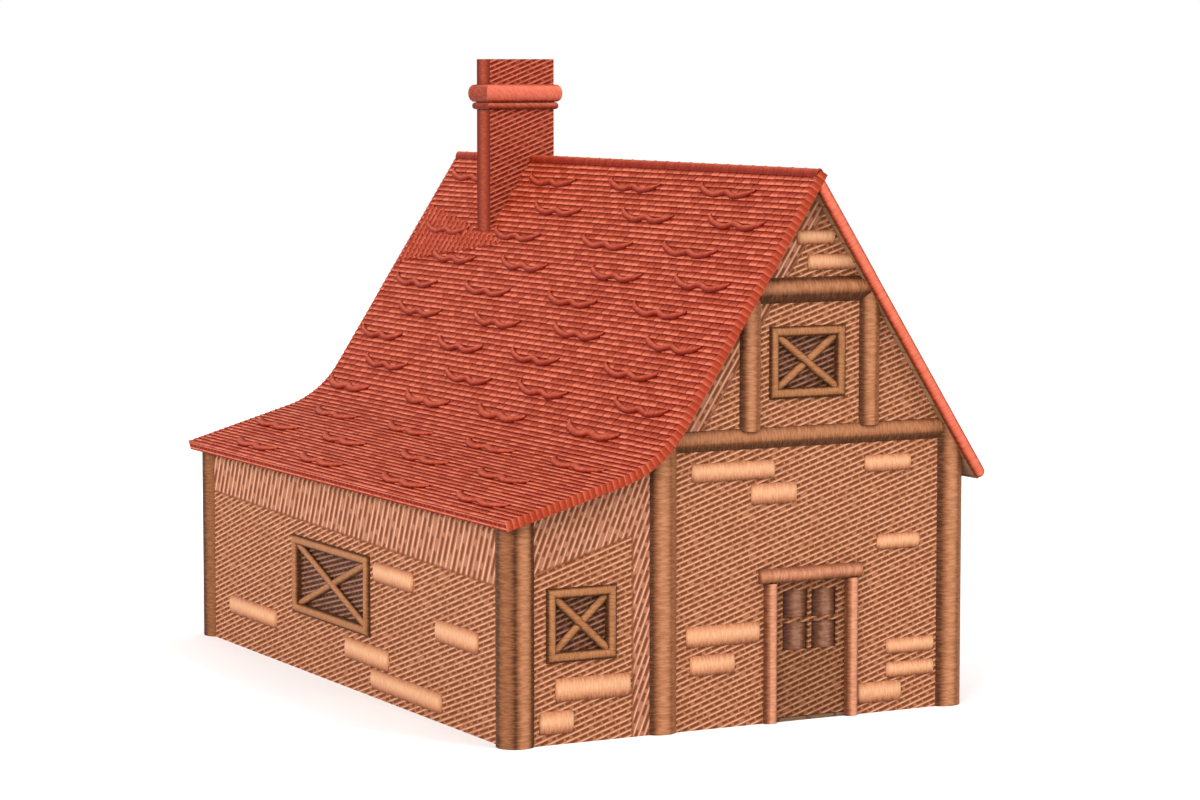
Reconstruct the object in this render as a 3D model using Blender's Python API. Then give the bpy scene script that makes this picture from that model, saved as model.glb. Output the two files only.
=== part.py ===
"""A timber-framed cottage with a lean-to under one side of its roof, a chimney and a door that opens.

Metres, +Z up. While it is built, X = 0 is the ridge, Y = 0 runs just behind the fronts of the front
posts, +Y goes to the back and Z = 0 is the ground. An empty then carries it to the centre of its box.
"""

import math

import bmesh
import bpy
from mathutils import Matrix, Vector

# General
GAP = 0.0003
DEPTH = 10.5
WALL_THICKNESS = 0.35
WALL_SET_BACK = 0.05

# Posts and beams, all of them round logs
LOG_SIDES = 24
POST_RADIUS = 0.25
POST_DEPTH = 0.20
POST_RIGHT_X = 2.22
POST_MIDDLE_X = -2.22
POST_LEFT_X = -4.30
PLATE_RADIUS = 0.18
TIE_RADIUS = 0.205
TIE_Z = 3.81
COLLAR_RADIUS = 0.195
COLLAR_Z = 5.745
COLLAR_DEPTH = 0.145
STUD_RADIUS = 0.185
STUD_X = 0.92
STUD_DEPTH = 0.14
ARCADE_POST_RADIUS = 0.15

# Roof
RIDGE_Z = 7.33
RIGHT_EAVE = (2.70, 3.17)
KICK_Z = 3.60
LEFT_EAVE = (-4.63, 2.96)
ROOF_THICKNESS = 0.14
KICK_TANGENT = 0.55
KICK_STEPS = 6
OVERHANG_FRONT = 0.18
OVERHANG_REAR = 0.25

# Scalloped ridges on the roof: two lobes and a cusp each, in rows that step sideways
MARK_LENGTH = 1.56
MARK_DEPTH = 0.20
MARK_CUSP = 0.075
MARK_CUSP_WIDTH = 0.11
MARK_CUSP_PLACE = 0.49
MARK_END = 0.965
MARK_STEPS = 7
MARK_CROWDING = 1.25
MARK_FOOT = 0.044
MARK_SUNK = 0.008
MARK_HEIGHT = 0.038
MARK_END_SIZE = 0.5
MARK_COLUMNS = 4
MARK_COLUMN = 2.62
MARK_FIRST = (2.05, 1.28)
MARK_SHIFT = 0.12
MARK_TOP_ROW = 0.30
MARK_ROW = 0.4775
MARK_LOW_ROW = 0.70
MARK_MARGIN = 0.10

# Floors
GROUND_FLOOR_TOP = 0.05
LOFT_FLOOR_THICKNESS = 0.10

# Door and its frame
DOORWAY_LEFT = -0.66
DOORWAY_RIGHT = 0.71
LINTEL_LEFT = -0.78
LINTEL_RIGHT = 0.81
LINTEL_BOTTOM = 1.87
LINTEL_TOP = 2.07
LINTEL_REBATE = 0.035
LINTEL_PROUD = 0.10
JAMB_NOSE_WIDTH = 0.19
JAMB_NOSE_OUTSIDE = 0.04
JAMB_TAIL_WIDTH = 0.115
JAMB_PROUD = 0.09
NOSE_STEPS = 6
LEAF_THICKNESS = 0.05
LEAF_STOP_GAP = 0.008
LEAF_SIDE_GAP = 0.010
LEAF_FOOT_GAP = 0.008
PANES_LEFT = -0.40
PANES_RIGHT = 0.44
PANES_BOTTOM = 0.95
PANES_TOP = 1.75
PANE_MULLION = 0.05
PANE_TRANSOM = 0.06
GLASS_LAP = 0.02
GLASS_POCKET = 0.012
GLASS_THICKNESS = 0.006

# Door hinges: a pin on the frame and an eye at the end of a strap on the leaf
HINGE_PROUD = 0.018
HINGE_HEIGHTS = {"lower": 0.42, "upper": 1.83}
HINGE_SIDES = 16
PIN_RADIUS = 0.007
EYE_INNER_RADIUS = 0.0076
EYE_OUTER_RADIUS = 0.0125
STRAP_HEIGHT = 0.05
STRAP_THICKNESS = 0.010
STRAP_LENGTH = 0.75
PIN_PLATE = (0.09, 0.008, 0.09)
PIN_SHOULDER = 0.03
PIN_PLAY = 0.0005

# Windows: the width and height of the frame outside, and the sill's height
FRAME_BAR = 0.125
FRAME_PROUD = 0.06
FRAME_DEPTH = 0.15
WINDOW_GLASS_DEPTH = 0.045
WINDOW_GLASS_THICKNESS = 0.012
SMALL_WINDOW = (1.02, 0.97)
SMALL_SILL = 1.06
GABLE_WINDOW = (1.17, 0.96)
GABLE_SILL = 4.31
LONG_WINDOW = (2.70, 1.13)
LONG_SILL = 0.82
LEAN_TO_WINDOW_X = -3.42
GABLE_WINDOW_X = -0.045
LONG_WINDOW_Y = 5.70

# Chimney
STACK_LEFT = -0.72
STACK_WIDTH = 1.08
STACK_FRONT = 8.15
STACK_DEPTH = 0.45
CORBEL_Z = 8.03
BAND_Z = 8.14
BAND_TOP = 8.41
STACK_TOP = 8.79
CORBEL_PROUD = 0.035
BAND_PROUD = 0.10
FLUE_WALL = 0.12
FLUE_FLOOR = 8.36

COLOURS = {
    "plaster": ((0.52, 0.23, 0.12), 0.9, 0.0),
    "log": ((0.30, 0.14, 0.055), 0.8, 0.0),
    "door_wood": ((0.16, 0.075, 0.03), 0.75, 0.0),
    "frame_wood": ((0.46, 0.18, 0.07), 0.7, 0.0),
    "window_wood": ((0.33, 0.14, 0.045), 0.7, 0.0),
    "roof": ((0.52, 0.065, 0.03), 0.75, 0.0),
    "brick": ((0.40, 0.06, 0.03), 0.85, 0.0),
    "floor_boards": ((0.35, 0.22, 0.12), 0.8, 0.0),
    "flagstone": ((0.40, 0.36, 0.31), 0.85, 0.0),
    "glass": ((0.10, 0.045, 0.03), 0.15, 0.0),
    "iron": ((0.04, 0.04, 0.045), 0.55, 1.0),
}

# Planes and edges worked out from the sizes above
WALL_FRONT = WALL_SET_BACK
WALL_INNER = WALL_FRONT + WALL_THICKNESS
POST_TO_WALL = POST_DEPTH - WALL_SET_BACK
RIGHT_OUTER = POST_RIGHT_X + POST_TO_WALL
LEFT_OUTER = POST_LEFT_X - POST_TO_WALL
STACK_RIGHT = STACK_LEFT + STACK_WIDTH
STACK_REAR = STACK_FRONT + STACK_DEPTH
ROOF_FRONT = -OVERHANG_FRONT
ROOF_REAR = DEPTH + OVERHANG_REAR
LEAF_OUTER = WALL_FRONT + LEAF_STOP_GAP
LEAF_INNER = LEAF_OUTER + LEAF_THICKNESS
LEAF_LEFT = DOORWAY_LEFT + JAMB_TAIL_WIDTH + LEAF_SIDE_GAP
LEAF_RIGHT = DOORWAY_RIGHT - JAMB_TAIL_WIDTH - LEAF_SIDE_GAP
LEAF_BOTTOM = GROUND_FLOOR_TOP + LEAF_FOOT_GAP
LEAF_TOP = LINTEL_BOTTOM + LINTEL_REBATE - LEAF_SIDE_GAP
HINGE_X = LEAF_LEFT - LEAF_SIDE_GAP / 2
HINGE_Y = LEAF_INNER + HINGE_PROUD
CENTRE_X = (LEFT_EAVE[0] + RIGHT_EAVE[0]) / 2
CENTRE_Y = (ROOF_FRONT + ROOF_REAR) / 2


def clear_scene():
    for old in list(bpy.data.objects):
        bpy.data.objects.remove(old, do_unlink=True)


def make_material(name):
    colour, roughness, metallic = COLOURS[name]
    material = bpy.data.materials.new(name)
    material.use_nodes = True
    shader = material.node_tree.nodes["Principled BSDF"]
    shader.inputs["Base Color"].default_value = (*colour, 1.0)
    shader.inputs["Roughness"].default_value = roughness
    shader.inputs["Metallic"].default_value = metallic
    material.diffuse_color = (*colour, 1.0)
    return material


def add_object(name, bm, material, origin=(0.0, 0.0, 0.0)):
    """Makes an object from bm, with its origin at a point of the building's frame."""
    bmesh.ops.recalc_face_normals(bm, faces=bm.faces)
    bmesh.ops.translate(bm, verts=bm.verts, vec=-Vector(origin))
    mesh = bpy.data.meshes.new(name)
    bm.to_mesh(mesh)
    bm.free()
    mesh.shade_smooth()
    mesh.set_sharp_from_angle(angle=math.radians(30))
    obj = bpy.data.objects.new(name, mesh)
    bpy.context.collection.objects.link(obj)
    obj.parent = PLACEMENT
    obj.location = origin
    if material is not None:
        obj.data.materials.append(MATERIALS[material])
    return obj


def add_box(bm, low, high):
    size = Vector(high) - Vector(low)
    centre = (Vector(high) + Vector(low)) / 2
    matrix = Matrix.Translation(centre) @ Matrix.Diagonal((*size, 1.0))
    bmesh.ops.create_cube(bm, size=1.0, matrix=matrix)


def box(name, low, high, material):
    bm = bmesh.new()
    add_box(bm, low, high)
    return add_object(name, bm, material)


def extrude(bm, outline, axis, start, end):
    """A prism: the outline lies in the two other axes, in X, Y, Z order."""
    loops = []
    for place in (start, end):
        ring = []
        for first, second in outline:
            point = [first, second]
            point.insert("XYZ".index(axis), place)
            ring.append(bm.verts.new(point))
        loops.append(ring)
    bm.faces.new(loops[0])
    bm.faces.new(loops[1])
    count = len(outline)
    for i in range(count):
        j = (i + 1) % count
        bm.faces.new((loops[0][i], loops[0][j], loops[1][j], loops[1][i]))


def prism(name, outline, axis, start, end, material):
    bm = bmesh.new()
    extrude(bm, outline, axis, start, end)
    return add_object(name, bm, material)


def circle(centre, radius, sides):
    """A regular outline whose flats, not its corners, face along both axes."""
    steps = [2 * math.pi * (i + 0.5) / sides for i in range(sides)]
    return [(centre[0] + radius * math.cos(a), centre[1] + radius * math.sin(a)) for a in steps]


def grown(radius, sides=LOG_SIDES):
    """The radius of a cutter whose flats stay GAP clear of a log's flats."""
    return radius + GAP / math.cos(math.pi / sides)


def as_cutter(obj):
    obj.hide_render = True
    obj.display_type = "WIRE"
    return obj


def combine(obj, other, operation="DIFFERENCE"):
    modifier = obj.modifiers.new(other.name, "BOOLEAN")
    modifier.object = other
    modifier.operation = operation
    modifier.solver = "EXACT"


def cut(obj, *cutters):
    for cutter in cutters:
        combine(obj, cutter)


def from_rear(depth):
    """The Y of something that lies this far in from the back as its twin does from the front."""
    return DEPTH - depth


def slope_angle(a, b):
    return math.atan2(abs(b[1] - a[1]), abs(b[0] - a[0]))


RIDGE = (0.0, RIDGE_Z)
RIGHT_ANGLE = slope_angle(RIDGE, RIGHT_EAVE)
LEFT_ANGLE = RIGHT_ANGLE
KICK = ((KICK_Z - RIDGE_Z) / math.tan(LEFT_ANGLE), KICK_Z)
LEAN_TO_ANGLE = slope_angle(KICK, LEFT_EAVE)


def kick_arc(sink):
    """The curve between the two left slopes, sink below the tiles, from its upper end down."""
    upper = (
        KICK[0] + KICK_TANGENT * math.cos(LEFT_ANGLE),
        KICK[1] + KICK_TANGENT * math.sin(LEFT_ANGLE),
    )
    centre = (
        upper[0] - ARC_RADIUS * math.sin(LEFT_ANGLE),
        upper[1] + ARC_RADIUS * math.cos(LEFT_ANGLE),
    )
    points = []
    for i in range(KICK_STEPS + 1):
        angle = LEFT_ANGLE - ARC_TURN * i / KICK_STEPS
        reach = ARC_RADIUS + sink
        points.append((centre[0] + reach * math.sin(angle), centre[1] - reach * math.cos(angle)))
    return points


def sunk_ridge(angle, sink):
    return (0.0, RIDGE_Z - sink / math.cos(angle))


def sunk_eave(eave, angle, sink, side):
    return (eave[0] - side * sink * math.sin(angle), eave[1] - sink * math.cos(angle))


STRAIGHT_LENGTH = math.hypot(KICK[0], RIDGE_Z - KICK[1]) - KICK_TANGENT
ARC_TURN = LEFT_ANGLE - LEAN_TO_ANGLE
ARC_RADIUS = KICK_TANGENT / math.tan(ARC_TURN / 2)
LEAN_TO_LENGTH = math.hypot(KICK[0] - LEFT_EAVE[0], KICK[1] - LEFT_EAVE[1]) - KICK_TANGENT
LEFT_LENGTH = STRAIGHT_LENGTH + ARC_RADIUS * ARC_TURN + LEAN_TO_LENGTH
RIGHT_LENGTH = math.hypot(RIGHT_EAVE[0], RIDGE_Z - RIGHT_EAVE[1])


def over_roof(side, down, lift):
    """X and Z of a point lift above the roof, down metres from the ridge; side is 1 right, -1 left."""
    angle = RIGHT_ANGLE
    straight = down
    if side < 0:
        straight = min(down, STRAIGHT_LENGTH)
    x = straight * math.cos(angle)
    z = RIDGE_Z - straight * math.sin(angle)
    if down > straight:
        turned = min((down - straight) / ARC_RADIUS, ARC_TURN)
        angle -= turned
        rest = down - straight - ARC_RADIUS * turned
        x += ARC_RADIUS * (math.sin(LEFT_ANGLE) - math.sin(angle)) + rest * math.cos(angle)
        z -= ARC_RADIUS * (math.cos(angle) - math.cos(LEFT_ANGLE)) + rest * math.sin(angle)
    return side * (x + lift * math.sin(angle)), z + lift * math.cos(angle)


def underside_z(x):
    """The height of the roof's underside over a point on one of the straight slopes."""
    if x >= 0:
        return RIDGE_Z - ROOF_THICKNESS / math.cos(RIGHT_ANGLE) - x * math.tan(RIGHT_ANGLE)
    if x >= KICK[0]:
        return RIDGE_Z - ROOF_THICKNESS / math.cos(LEFT_ANGLE) + x * math.tan(LEFT_ANGLE)
    below = KICK[1] - ROOF_THICKNESS / math.cos(LEAN_TO_ANGLE)
    return below - (KICK[0] - x) * math.tan(LEAN_TO_ANGLE)


def log_reach(radius, direction):
    """How far the flats and corners of a log reach from its centre in one direction."""
    step = 2 * math.pi / LOG_SIDES
    return radius * math.cos(direction % step - step / 2)


def plate_z(x, angle):
    """The centre height of a plate log that the roof's underside rests on."""
    reach = log_reach(PLATE_RADIUS, math.pi / 2 - angle)
    return underside_z(x) - (reach + GAP) / math.cos(angle)


RIGHT_PLATE_X = RIGHT_OUTER - WALL_THICKNESS / 2
ARCADE_PLATE_X = -RIGHT_PLATE_X
LEFT_PLATE_X = LEFT_OUTER + WALL_THICKNESS / 2
RIGHT_PLATE_Z = plate_z(RIGHT_PLATE_X, RIGHT_ANGLE)
ARCADE_PLATE_Z = plate_z(ARCADE_PLATE_X, LEFT_ANGLE)
LEFT_PLATE_Z = plate_z(LEFT_PLATE_X, LEAN_TO_ANGLE)
LOFT_FLOOR_Z = RIGHT_PLATE_Z + log_reach(PLATE_RADIUS, math.pi / 2) + GAP


def roof_cutter():
    """All that lies above the roof's underside, to trim what carries the roof."""
    sink = ROOF_THICKNESS + GAP
    above = RIDGE_Z + 1.0
    beyond = 1.0
    right = sunk_eave(RIGHT_EAVE, RIGHT_ANGLE, sink, 1)
    left = sunk_eave(LEFT_EAVE, LEAN_TO_ANGLE, sink, -1)
    right_out = (right[0] + beyond, right[1] - beyond * math.tan(RIGHT_ANGLE))
    left_out = (left[0] - beyond, left[1] - beyond * math.tan(LEAN_TO_ANGLE))
    ridge_z = min(sunk_ridge(RIGHT_ANGLE, sink)[1], sunk_ridge(LEFT_ANGLE, sink)[1])
    outline = [(right_out[0], above), right_out, (0.0, ridge_z), *kick_arc(sink), left_out]
    outline.append((left_out[0], above))
    return as_cutter(prism("roof_space", outline, "Y", -1.0, DEPTH + 1.0, None))


def stack_cutter():
    low = (STACK_LEFT - GAP, STACK_FRONT - GAP, -1.0)
    high = (STACK_RIGHT + GAP, STACK_REAR + GAP, STACK_TOP + 1.0)
    return as_cutter(box("stack_space", low, high, None))


def log_cutter(name, centre, radius, axis, start, end):
    outline = circle(centre, grown(radius), LOG_SIDES)
    return as_cutter(prism(name, outline, axis, start, end, None))


def make_posts(roof_space):
    """The six outer posts. Returns a cutter for each, for the walls and beams that meet it."""
    places = {
        "post_front_left": (POST_LEFT_X, POST_DEPTH),
        "post_front_middle": (POST_MIDDLE_X, POST_DEPTH),
        "post_front_right": (POST_RIGHT_X, POST_DEPTH),
        "post_rear_left": (POST_LEFT_X, from_rear(POST_DEPTH)),
        "post_rear_middle": (POST_MIDDLE_X, from_rear(POST_DEPTH)),
        "post_rear_right": (POST_RIGHT_X, from_rear(POST_DEPTH)),
    }
    cutters = {}
    for name, centre in places.items():
        outline = circle(centre, POST_RADIUS, LOG_SIDES)
        post = prism(name, outline, "Z", 0.0, RIDGE_Z - 1.0, "log")
        cut(post, roof_space)
        cutters[name] = log_cutter(name + "_space", centre, POST_RADIUS, "Z", -1.0, RIDGE_Z)
    return cutters


def make_plates(posts):
    """The long logs under the roof's edges and under the kink of its left side."""
    rows = {
        "eaves_plate_right": (RIGHT_PLATE_X, RIGHT_PLATE_Z, "right"),
        "arcade_plate": (ARCADE_PLATE_X, ARCADE_PLATE_Z, "middle"),
        "eaves_plate_left": (LEFT_PLATE_X, LEFT_PLATE_Z, "left"),
    }
    cutters = {}
    for name, (x, z, column) in rows.items():
        outline = circle((x, z), PLATE_RADIUS, LOG_SIDES)
        start = WALL_INNER + GAP
        plate = prism(name, outline, "Y", start, from_rear(start), "log")
        cut(plate, posts["post_front_" + column], posts["post_rear_" + column])
        cutters[name] = log_cutter(name + "_space", (x, z), PLATE_RADIUS, "Y", -1.0, DEPTH + 1.0)
    return cutters


def make_arcade_post(plates):
    """One inner post halfway along the arcade plate, where the lean-to opens to the room."""
    centre = (ARCADE_PLATE_X, DEPTH / 2)
    outline = circle(centre, ARCADE_POST_RADIUS, LOG_SIDES)
    post = prism("arcade_post", outline, "Z", GROUND_FLOOR_TOP + GAP, ARCADE_PLATE_Z, "log")
    cut(post, plates["arcade_plate"])


def make_gable_logs(end, face, roof_space, posts):
    """The tie beam, collar and two studs of one gable. face gives the Y of a depth into the wall.

    Returns the cutters of the tie beam, the collar and the studs.
    """
    tie_centre = (face(POST_DEPTH), TIE_Z)
    tie = prism(
        "tie_beam_" + end,
        circle(tie_centre, TIE_RADIUS, LOG_SIDES),
        "X",
        POST_MIDDLE_X,
        POST_RIGHT_X,
        "log",
    )
    cut(tie, posts[f"post_{end}_middle"], posts[f"post_{end}_right"])
    tie_space = log_cutter(f"tie_{end}_space", tie_centre, TIE_RADIUS, "X", -3.0, 3.0)

    collar_centre = (face(COLLAR_DEPTH), COLLAR_Z)
    collar = prism(
        "collar_" + end,
        circle(collar_centre, COLLAR_RADIUS, LOG_SIDES),
        "X",
        POST_MIDDLE_X,
        POST_RIGHT_X,
        "log",
    )
    cut(collar, roof_space)
    collar_space = log_cutter(f"collar_{end}_space", collar_centre, COLLAR_RADIUS, "X", -3.0, 3.0)

    stud_spaces = []
    for side, x in (("left", -STUD_X), ("right", STUD_X)):
        centre = (x, face(STUD_DEPTH))
        outline = circle(centre, STUD_RADIUS, LOG_SIDES)
        stud = prism(f"stud_{end}_{side}", outline, "Z", TIE_Z + 0.5 * TIE_RADIUS, COLLAR_Z, "log")
        cut(stud, tie_space, collar_space, roof_space)
        space = log_cutter(f"stud_{end}_{side}_space", centre, STUD_RADIUS, "Z", TIE_Z, COLLAR_Z)
        stud_spaces.append(space)
    return tie_space, collar_space, stud_spaces


def window_box(side, along, depth, height):
    """A box in a wall: along, depth and height are (from, to), depth counted in from the wall's face."""
    if side == "front":
        near, far = WALL_FRONT + depth[0], WALL_FRONT + depth[1]
        return (along[0], near, height[0]), (along[1], far, height[1])
    if side == "rear":
        near, far = from_rear(WALL_FRONT + depth[1]), from_rear(WALL_FRONT + depth[0])
        return (along[0], near, height[0]), (along[1], far, height[1])
    if side == "left":
        near, far = LEFT_OUTER + depth[0], LEFT_OUTER + depth[1]
        return (near, along[0], height[0]), (far, along[1], height[1])
    near, far = RIGHT_OUTER - depth[1], RIGHT_OUTER - depth[0]
    return (near, along[0], height[0]), (far, along[1], height[1])


def make_window(name, side, centre, size, sill, wall):
    """A frame with one sheet of glass, set in a hole that goes through its wall."""
    along = (centre - size[0] / 2, centre + size[0] / 2)
    height = (sill, sill + size[1])
    wider = (along[0] - GAP, along[1] + GAP)
    taller = (height[0] - GAP, height[1] + GAP)
    through = (-0.5, WALL_THICKNESS + 0.5)
    hole = as_cutter(box(name + "_hole", *window_box(side, wider, through, taller), None))
    cut(wall, hole)

    inner_along = (along[0] + FRAME_BAR, along[1] - FRAME_BAR)
    inner_height = (height[0] + FRAME_BAR, height[1] - FRAME_BAR)
    depth = (-FRAME_PROUD, FRAME_DEPTH)
    frame = box(name + "_frame", *window_box(side, along, depth, height), "window_wood")
    light = window_box(side, inner_along, through, inner_height)
    cut(frame, as_cutter(box(name + "_light", *light, None)))

    glass_along = (inner_along[0] + GAP, inner_along[1] - GAP)
    glass_height = (inner_height[0] + GAP, inner_height[1] - GAP)
    glass_depth = (WINDOW_GLASS_DEPTH, WINDOW_GLASS_DEPTH + WINDOW_GLASS_THICKNESS)
    box(name + "_glass", *window_box(side, glass_along, glass_depth, glass_height), "glass")


def gable_outline():
    """A gable from the middle of its tie beam up, a little past the roof's underside."""
    half = POST_RIGHT_X
    return [(-half, TIE_Z), (half, TIE_Z), (0.0, RIDGE_Z + 0.5)]


def make_gable(end, face, roof_space, posts):
    """One gable wall with its logs let into its outer face."""
    tie_space, collar_space, stud_spaces = make_gable_logs(end, face, roof_space, posts)
    near, far = sorted((face(WALL_FRONT), face(WALL_INNER)))
    wall = prism("gable_wall_" + end, gable_outline(), "Y", near, far, "plaster")
    cut(wall, roof_space, tie_space, collar_space, *stud_spaces)
    cut(wall, posts[f"post_{end}_middle"], posts[f"post_{end}_right"])
    name = f"gable_window_{end}"
    make_window(name, end, GABLE_WINDOW_X, GABLE_WINDOW, GABLE_SILL, wall)
    return tie_space


def make_front_walls(posts, tie_space):
    """The main front wall, split beside and over the doorway."""
    step_z = LINTEL_BOTTOM + LINTEL_REBATE
    left_end = POST_MIDDLE_X + POST_DEPTH
    right_end = POST_RIGHT_X - POST_DEPTH
    left = [
        (left_end, 0.0),
        (DOORWAY_LEFT, 0.0),
        (DOORWAY_LEFT, step_z),
        (LINTEL_LEFT - GAP, step_z),
        (LINTEL_LEFT - GAP, TIE_Z),
        (left_end, TIE_Z),
    ]
    right = [
        (right_end, 0.0),
        (right_end, TIE_Z),
        (LINTEL_RIGHT + GAP, TIE_Z),
        (LINTEL_RIGHT + GAP, step_z),
        (DOORWAY_RIGHT, step_z),
        (DOORWAY_RIGHT, 0.0),
    ]
    over = [
        (LINTEL_LEFT, LINTEL_TOP + GAP),
        (LINTEL_RIGHT, LINTEL_TOP + GAP),
        (LINTEL_RIGHT, TIE_Z),
        (LINTEL_LEFT, TIE_Z),
    ]
    outlines = {"front_wall_left": left, "front_wall_right": right, "front_wall_over_door": over}
    for name, outline in outlines.items():
        wall = prism(name, outline, "Y", WALL_FRONT, WALL_INNER, "plaster")
        cut(wall, tie_space)
        if name == "front_wall_left":
            cut(wall, posts["post_front_middle"])
        if name == "front_wall_right":
            cut(wall, posts["post_front_right"])


def make_rear_wall(posts, tie_space):
    low = (POST_MIDDLE_X + POST_DEPTH, from_rear(WALL_INNER), 0.0)
    high = (POST_RIGHT_X - POST_DEPTH, from_rear(WALL_FRONT), TIE_Z)
    wall = box("rear_wall", low, high, "plaster")
    cut(wall, tie_space, posts["post_rear_middle"], posts["post_rear_right"])
    make_window("rear_window", "rear", 0.0, SMALL_WINDOW, SMALL_SILL, wall)


def make_lean_to_ends(roof_space, posts):
    """The lean-to's front and rear walls, which reach up to its roof."""
    inner = LEFT_OUTER + WALL_THICKNESS
    for end, near, far in (
        ("front", WALL_FRONT, WALL_INNER),
        ("rear", from_rear(WALL_INNER), from_rear(WALL_FRONT)),
    ):
        low = (inner, near, 0.0)
        high = (POST_MIDDLE_X - POST_DEPTH, far, RIDGE_Z)
        wall = box(f"lean_to_{end}_wall", low, high, "plaster")
        cut(wall, roof_space, posts[f"post_{end}_left"], posts[f"post_{end}_middle"])
        if end == "front":
            name = "lean_to_window"
            make_window(name, end, LEAN_TO_WINDOW_X, SMALL_WINDOW, SMALL_SILL, wall)


def make_long_walls(posts, plates):
    """The lean-to's side wall and the right wall, each with its plate bedded on top."""
    front_end = WALL_INNER + GAP
    rear_end = from_rear(WALL_INNER) - GAP
    rows = {
        "lean_to_side_wall": ("left", LEFT_OUTER, LEFT_OUTER + WALL_THICKNESS, LEFT_PLATE_Z),
        "right_wall": ("right", RIGHT_OUTER - WALL_THICKNESS, RIGHT_OUTER, RIGHT_PLATE_Z),
    }
    for name, (side, near, far, top) in rows.items():
        wall = box(name, (near, front_end, 0.0), (far, rear_end, top), "plaster")
        cut(wall, plates["eaves_plate_" + side])
        cut(wall, posts["post_front_" + side], posts["post_rear_" + side])
        window = "side_window" if side == "left" else "right_window"
        make_window(window, side, LONG_WINDOW_Y, LONG_WINDOW, LONG_SILL, wall)


def mark_line(down, y):
    """The middle of one ridge, from its rear end: how far down the roof, and how far back."""
    stations = []
    for i in range(MARK_STEPS + 1):
        share = MARK_END * (i / MARK_STEPS) ** MARK_CROWDING
        lobes = MARK_DEPTH * math.sqrt(math.sin(math.pi * share))
        cusp = MARK_CUSP * math.exp(-(((share - MARK_CUSP_PLACE) / MARK_CUSP_WIDTH) ** 2))
        stations.append((down + lobes - cusp, y + MARK_LENGTH * (0.5 - share)))
    return stations


def add_mark(bm, side, down, y):
    """One ridge with a sharp crest, lower at its ends, whose feet are sunk into the roof."""
    stations = mark_line(down, y)
    last = len(stations) - 1
    rings = []
    for i, (low, back) in enumerate(stations):
        before = stations[max(i - 1, 0)]
        after = stations[min(i + 1, last)]
        run = Vector((after[0] - before[0], after[1] - before[1])).normalized()
        size = MARK_END_SIZE if i in (0, last) else 1.0
        ring = []
        for across, lift in ((-MARK_FOOT, -MARK_SUNK), (0.0, MARK_HEIGHT * size), (MARK_FOOT, -MARK_SUNK)):
            x, z = over_roof(side, low + size * across * run.y, lift)
            ring.append(bm.verts.new((x, back - size * across * run.x, z)))
        rings.append(ring)
    for ring, following in zip(rings, rings[1:]):
        for i in range(3):
            j = (i + 1) % 3
            bm.faces.new((ring[i], ring[j], following[j]))
            bm.faces.new((ring[i], following[j], following[i]))
    bm.faces.new(rings[0])
    bm.faces.new(rings[last])


def mark_places(side):
    """Where the ridges of one side of the roof start, down from the ridge, and their middles in Y."""
    length = RIGHT_LENGTH if side > 0 else LEFT_LENGTH
    rearmost = ROOF_REAR - MARK_MARGIN - MARK_LENGTH / 2
    half = MARK_LENGTH / 2 + MARK_MARGIN
    places = []
    row = 0
    down = MARK_TOP_ROW
    while down + MARK_DEPTH + MARK_MARGIN < length:
        beside_stack = STACK_LEFT < over_roof(side, down, 0.0)[0] < STACK_RIGHT
        for column in range(MARK_COLUMNS):
            y = ROOF_FRONT + MARK_FIRST[row % 2] + column * MARK_COLUMN
            y = min(y + MARK_SHIFT * math.sin(7 * row + 3 * column), rearmost)
            if not (beside_stack and y + half > STACK_FRONT and y - half < STACK_REAR):
                places.append((down, y))
        down += MARK_ROW if side > 0 or down < STRAIGHT_LENGTH else MARK_LOW_ROW
        row += 1
    return places


def add_marks(slab, side, start, end):
    """Raises the ridges that lie between two distances down the roof on a slab."""
    bm = bmesh.new()
    for down, y in mark_places(side):
        if start < down < end:
            add_mark(bm, side, down, y)
    combine(slab, as_cutter(add_object(f"{slab.name}_marks", bm, None)), "UNION")


def make_roof(stack_space):
    """Two steep slopes that meet at the ridge, and the lean-to's slope that curves off the left one."""
    right = [
        (GAP / 2, RIDGE_Z),
        RIGHT_EAVE,
        sunk_eave(RIGHT_EAVE, RIGHT_ANGLE, ROOF_THICKNESS, 1),
        (GAP / 2, sunk_ridge(RIGHT_ANGLE, ROOF_THICKNESS)[1]),
    ]
    top_arc = kick_arc(0.0)
    under_arc = kick_arc(ROOF_THICKNESS)
    along = (GAP * math.cos(LEFT_ANGLE), GAP * math.sin(LEFT_ANGLE))
    left = [
        (-GAP / 2, RIDGE_Z),
        (-GAP / 2, sunk_ridge(LEFT_ANGLE, ROOF_THICKNESS)[1]),
        (under_arc[0][0] + along[0], under_arc[0][1] + along[1]),
        (top_arc[0][0] + along[0], top_arc[0][1] + along[1]),
    ]
    low_eave = sunk_eave(LEFT_EAVE, LEAN_TO_ANGLE, ROOF_THICKNESS, -1)
    lean_to = [*top_arc, LEFT_EAVE, low_eave, *reversed(under_arc)]
    slabs = (
        ("roof_right", right, 1, 0.0, RIGHT_LENGTH),
        ("roof_left", left, -1, 0.0, STRAIGHT_LENGTH),
        ("roof_lean_to", lean_to, -1, STRAIGHT_LENGTH, LEFT_LENGTH),
    )
    for name, outline, side, start, end in slabs:
        slab = prism(name, outline, "Y", ROOF_FRONT, ROOF_REAR, "roof")
        if name != "roof_lean_to":
            cut(slab, stack_space)
        add_marks(slab, side, start, end)


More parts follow.
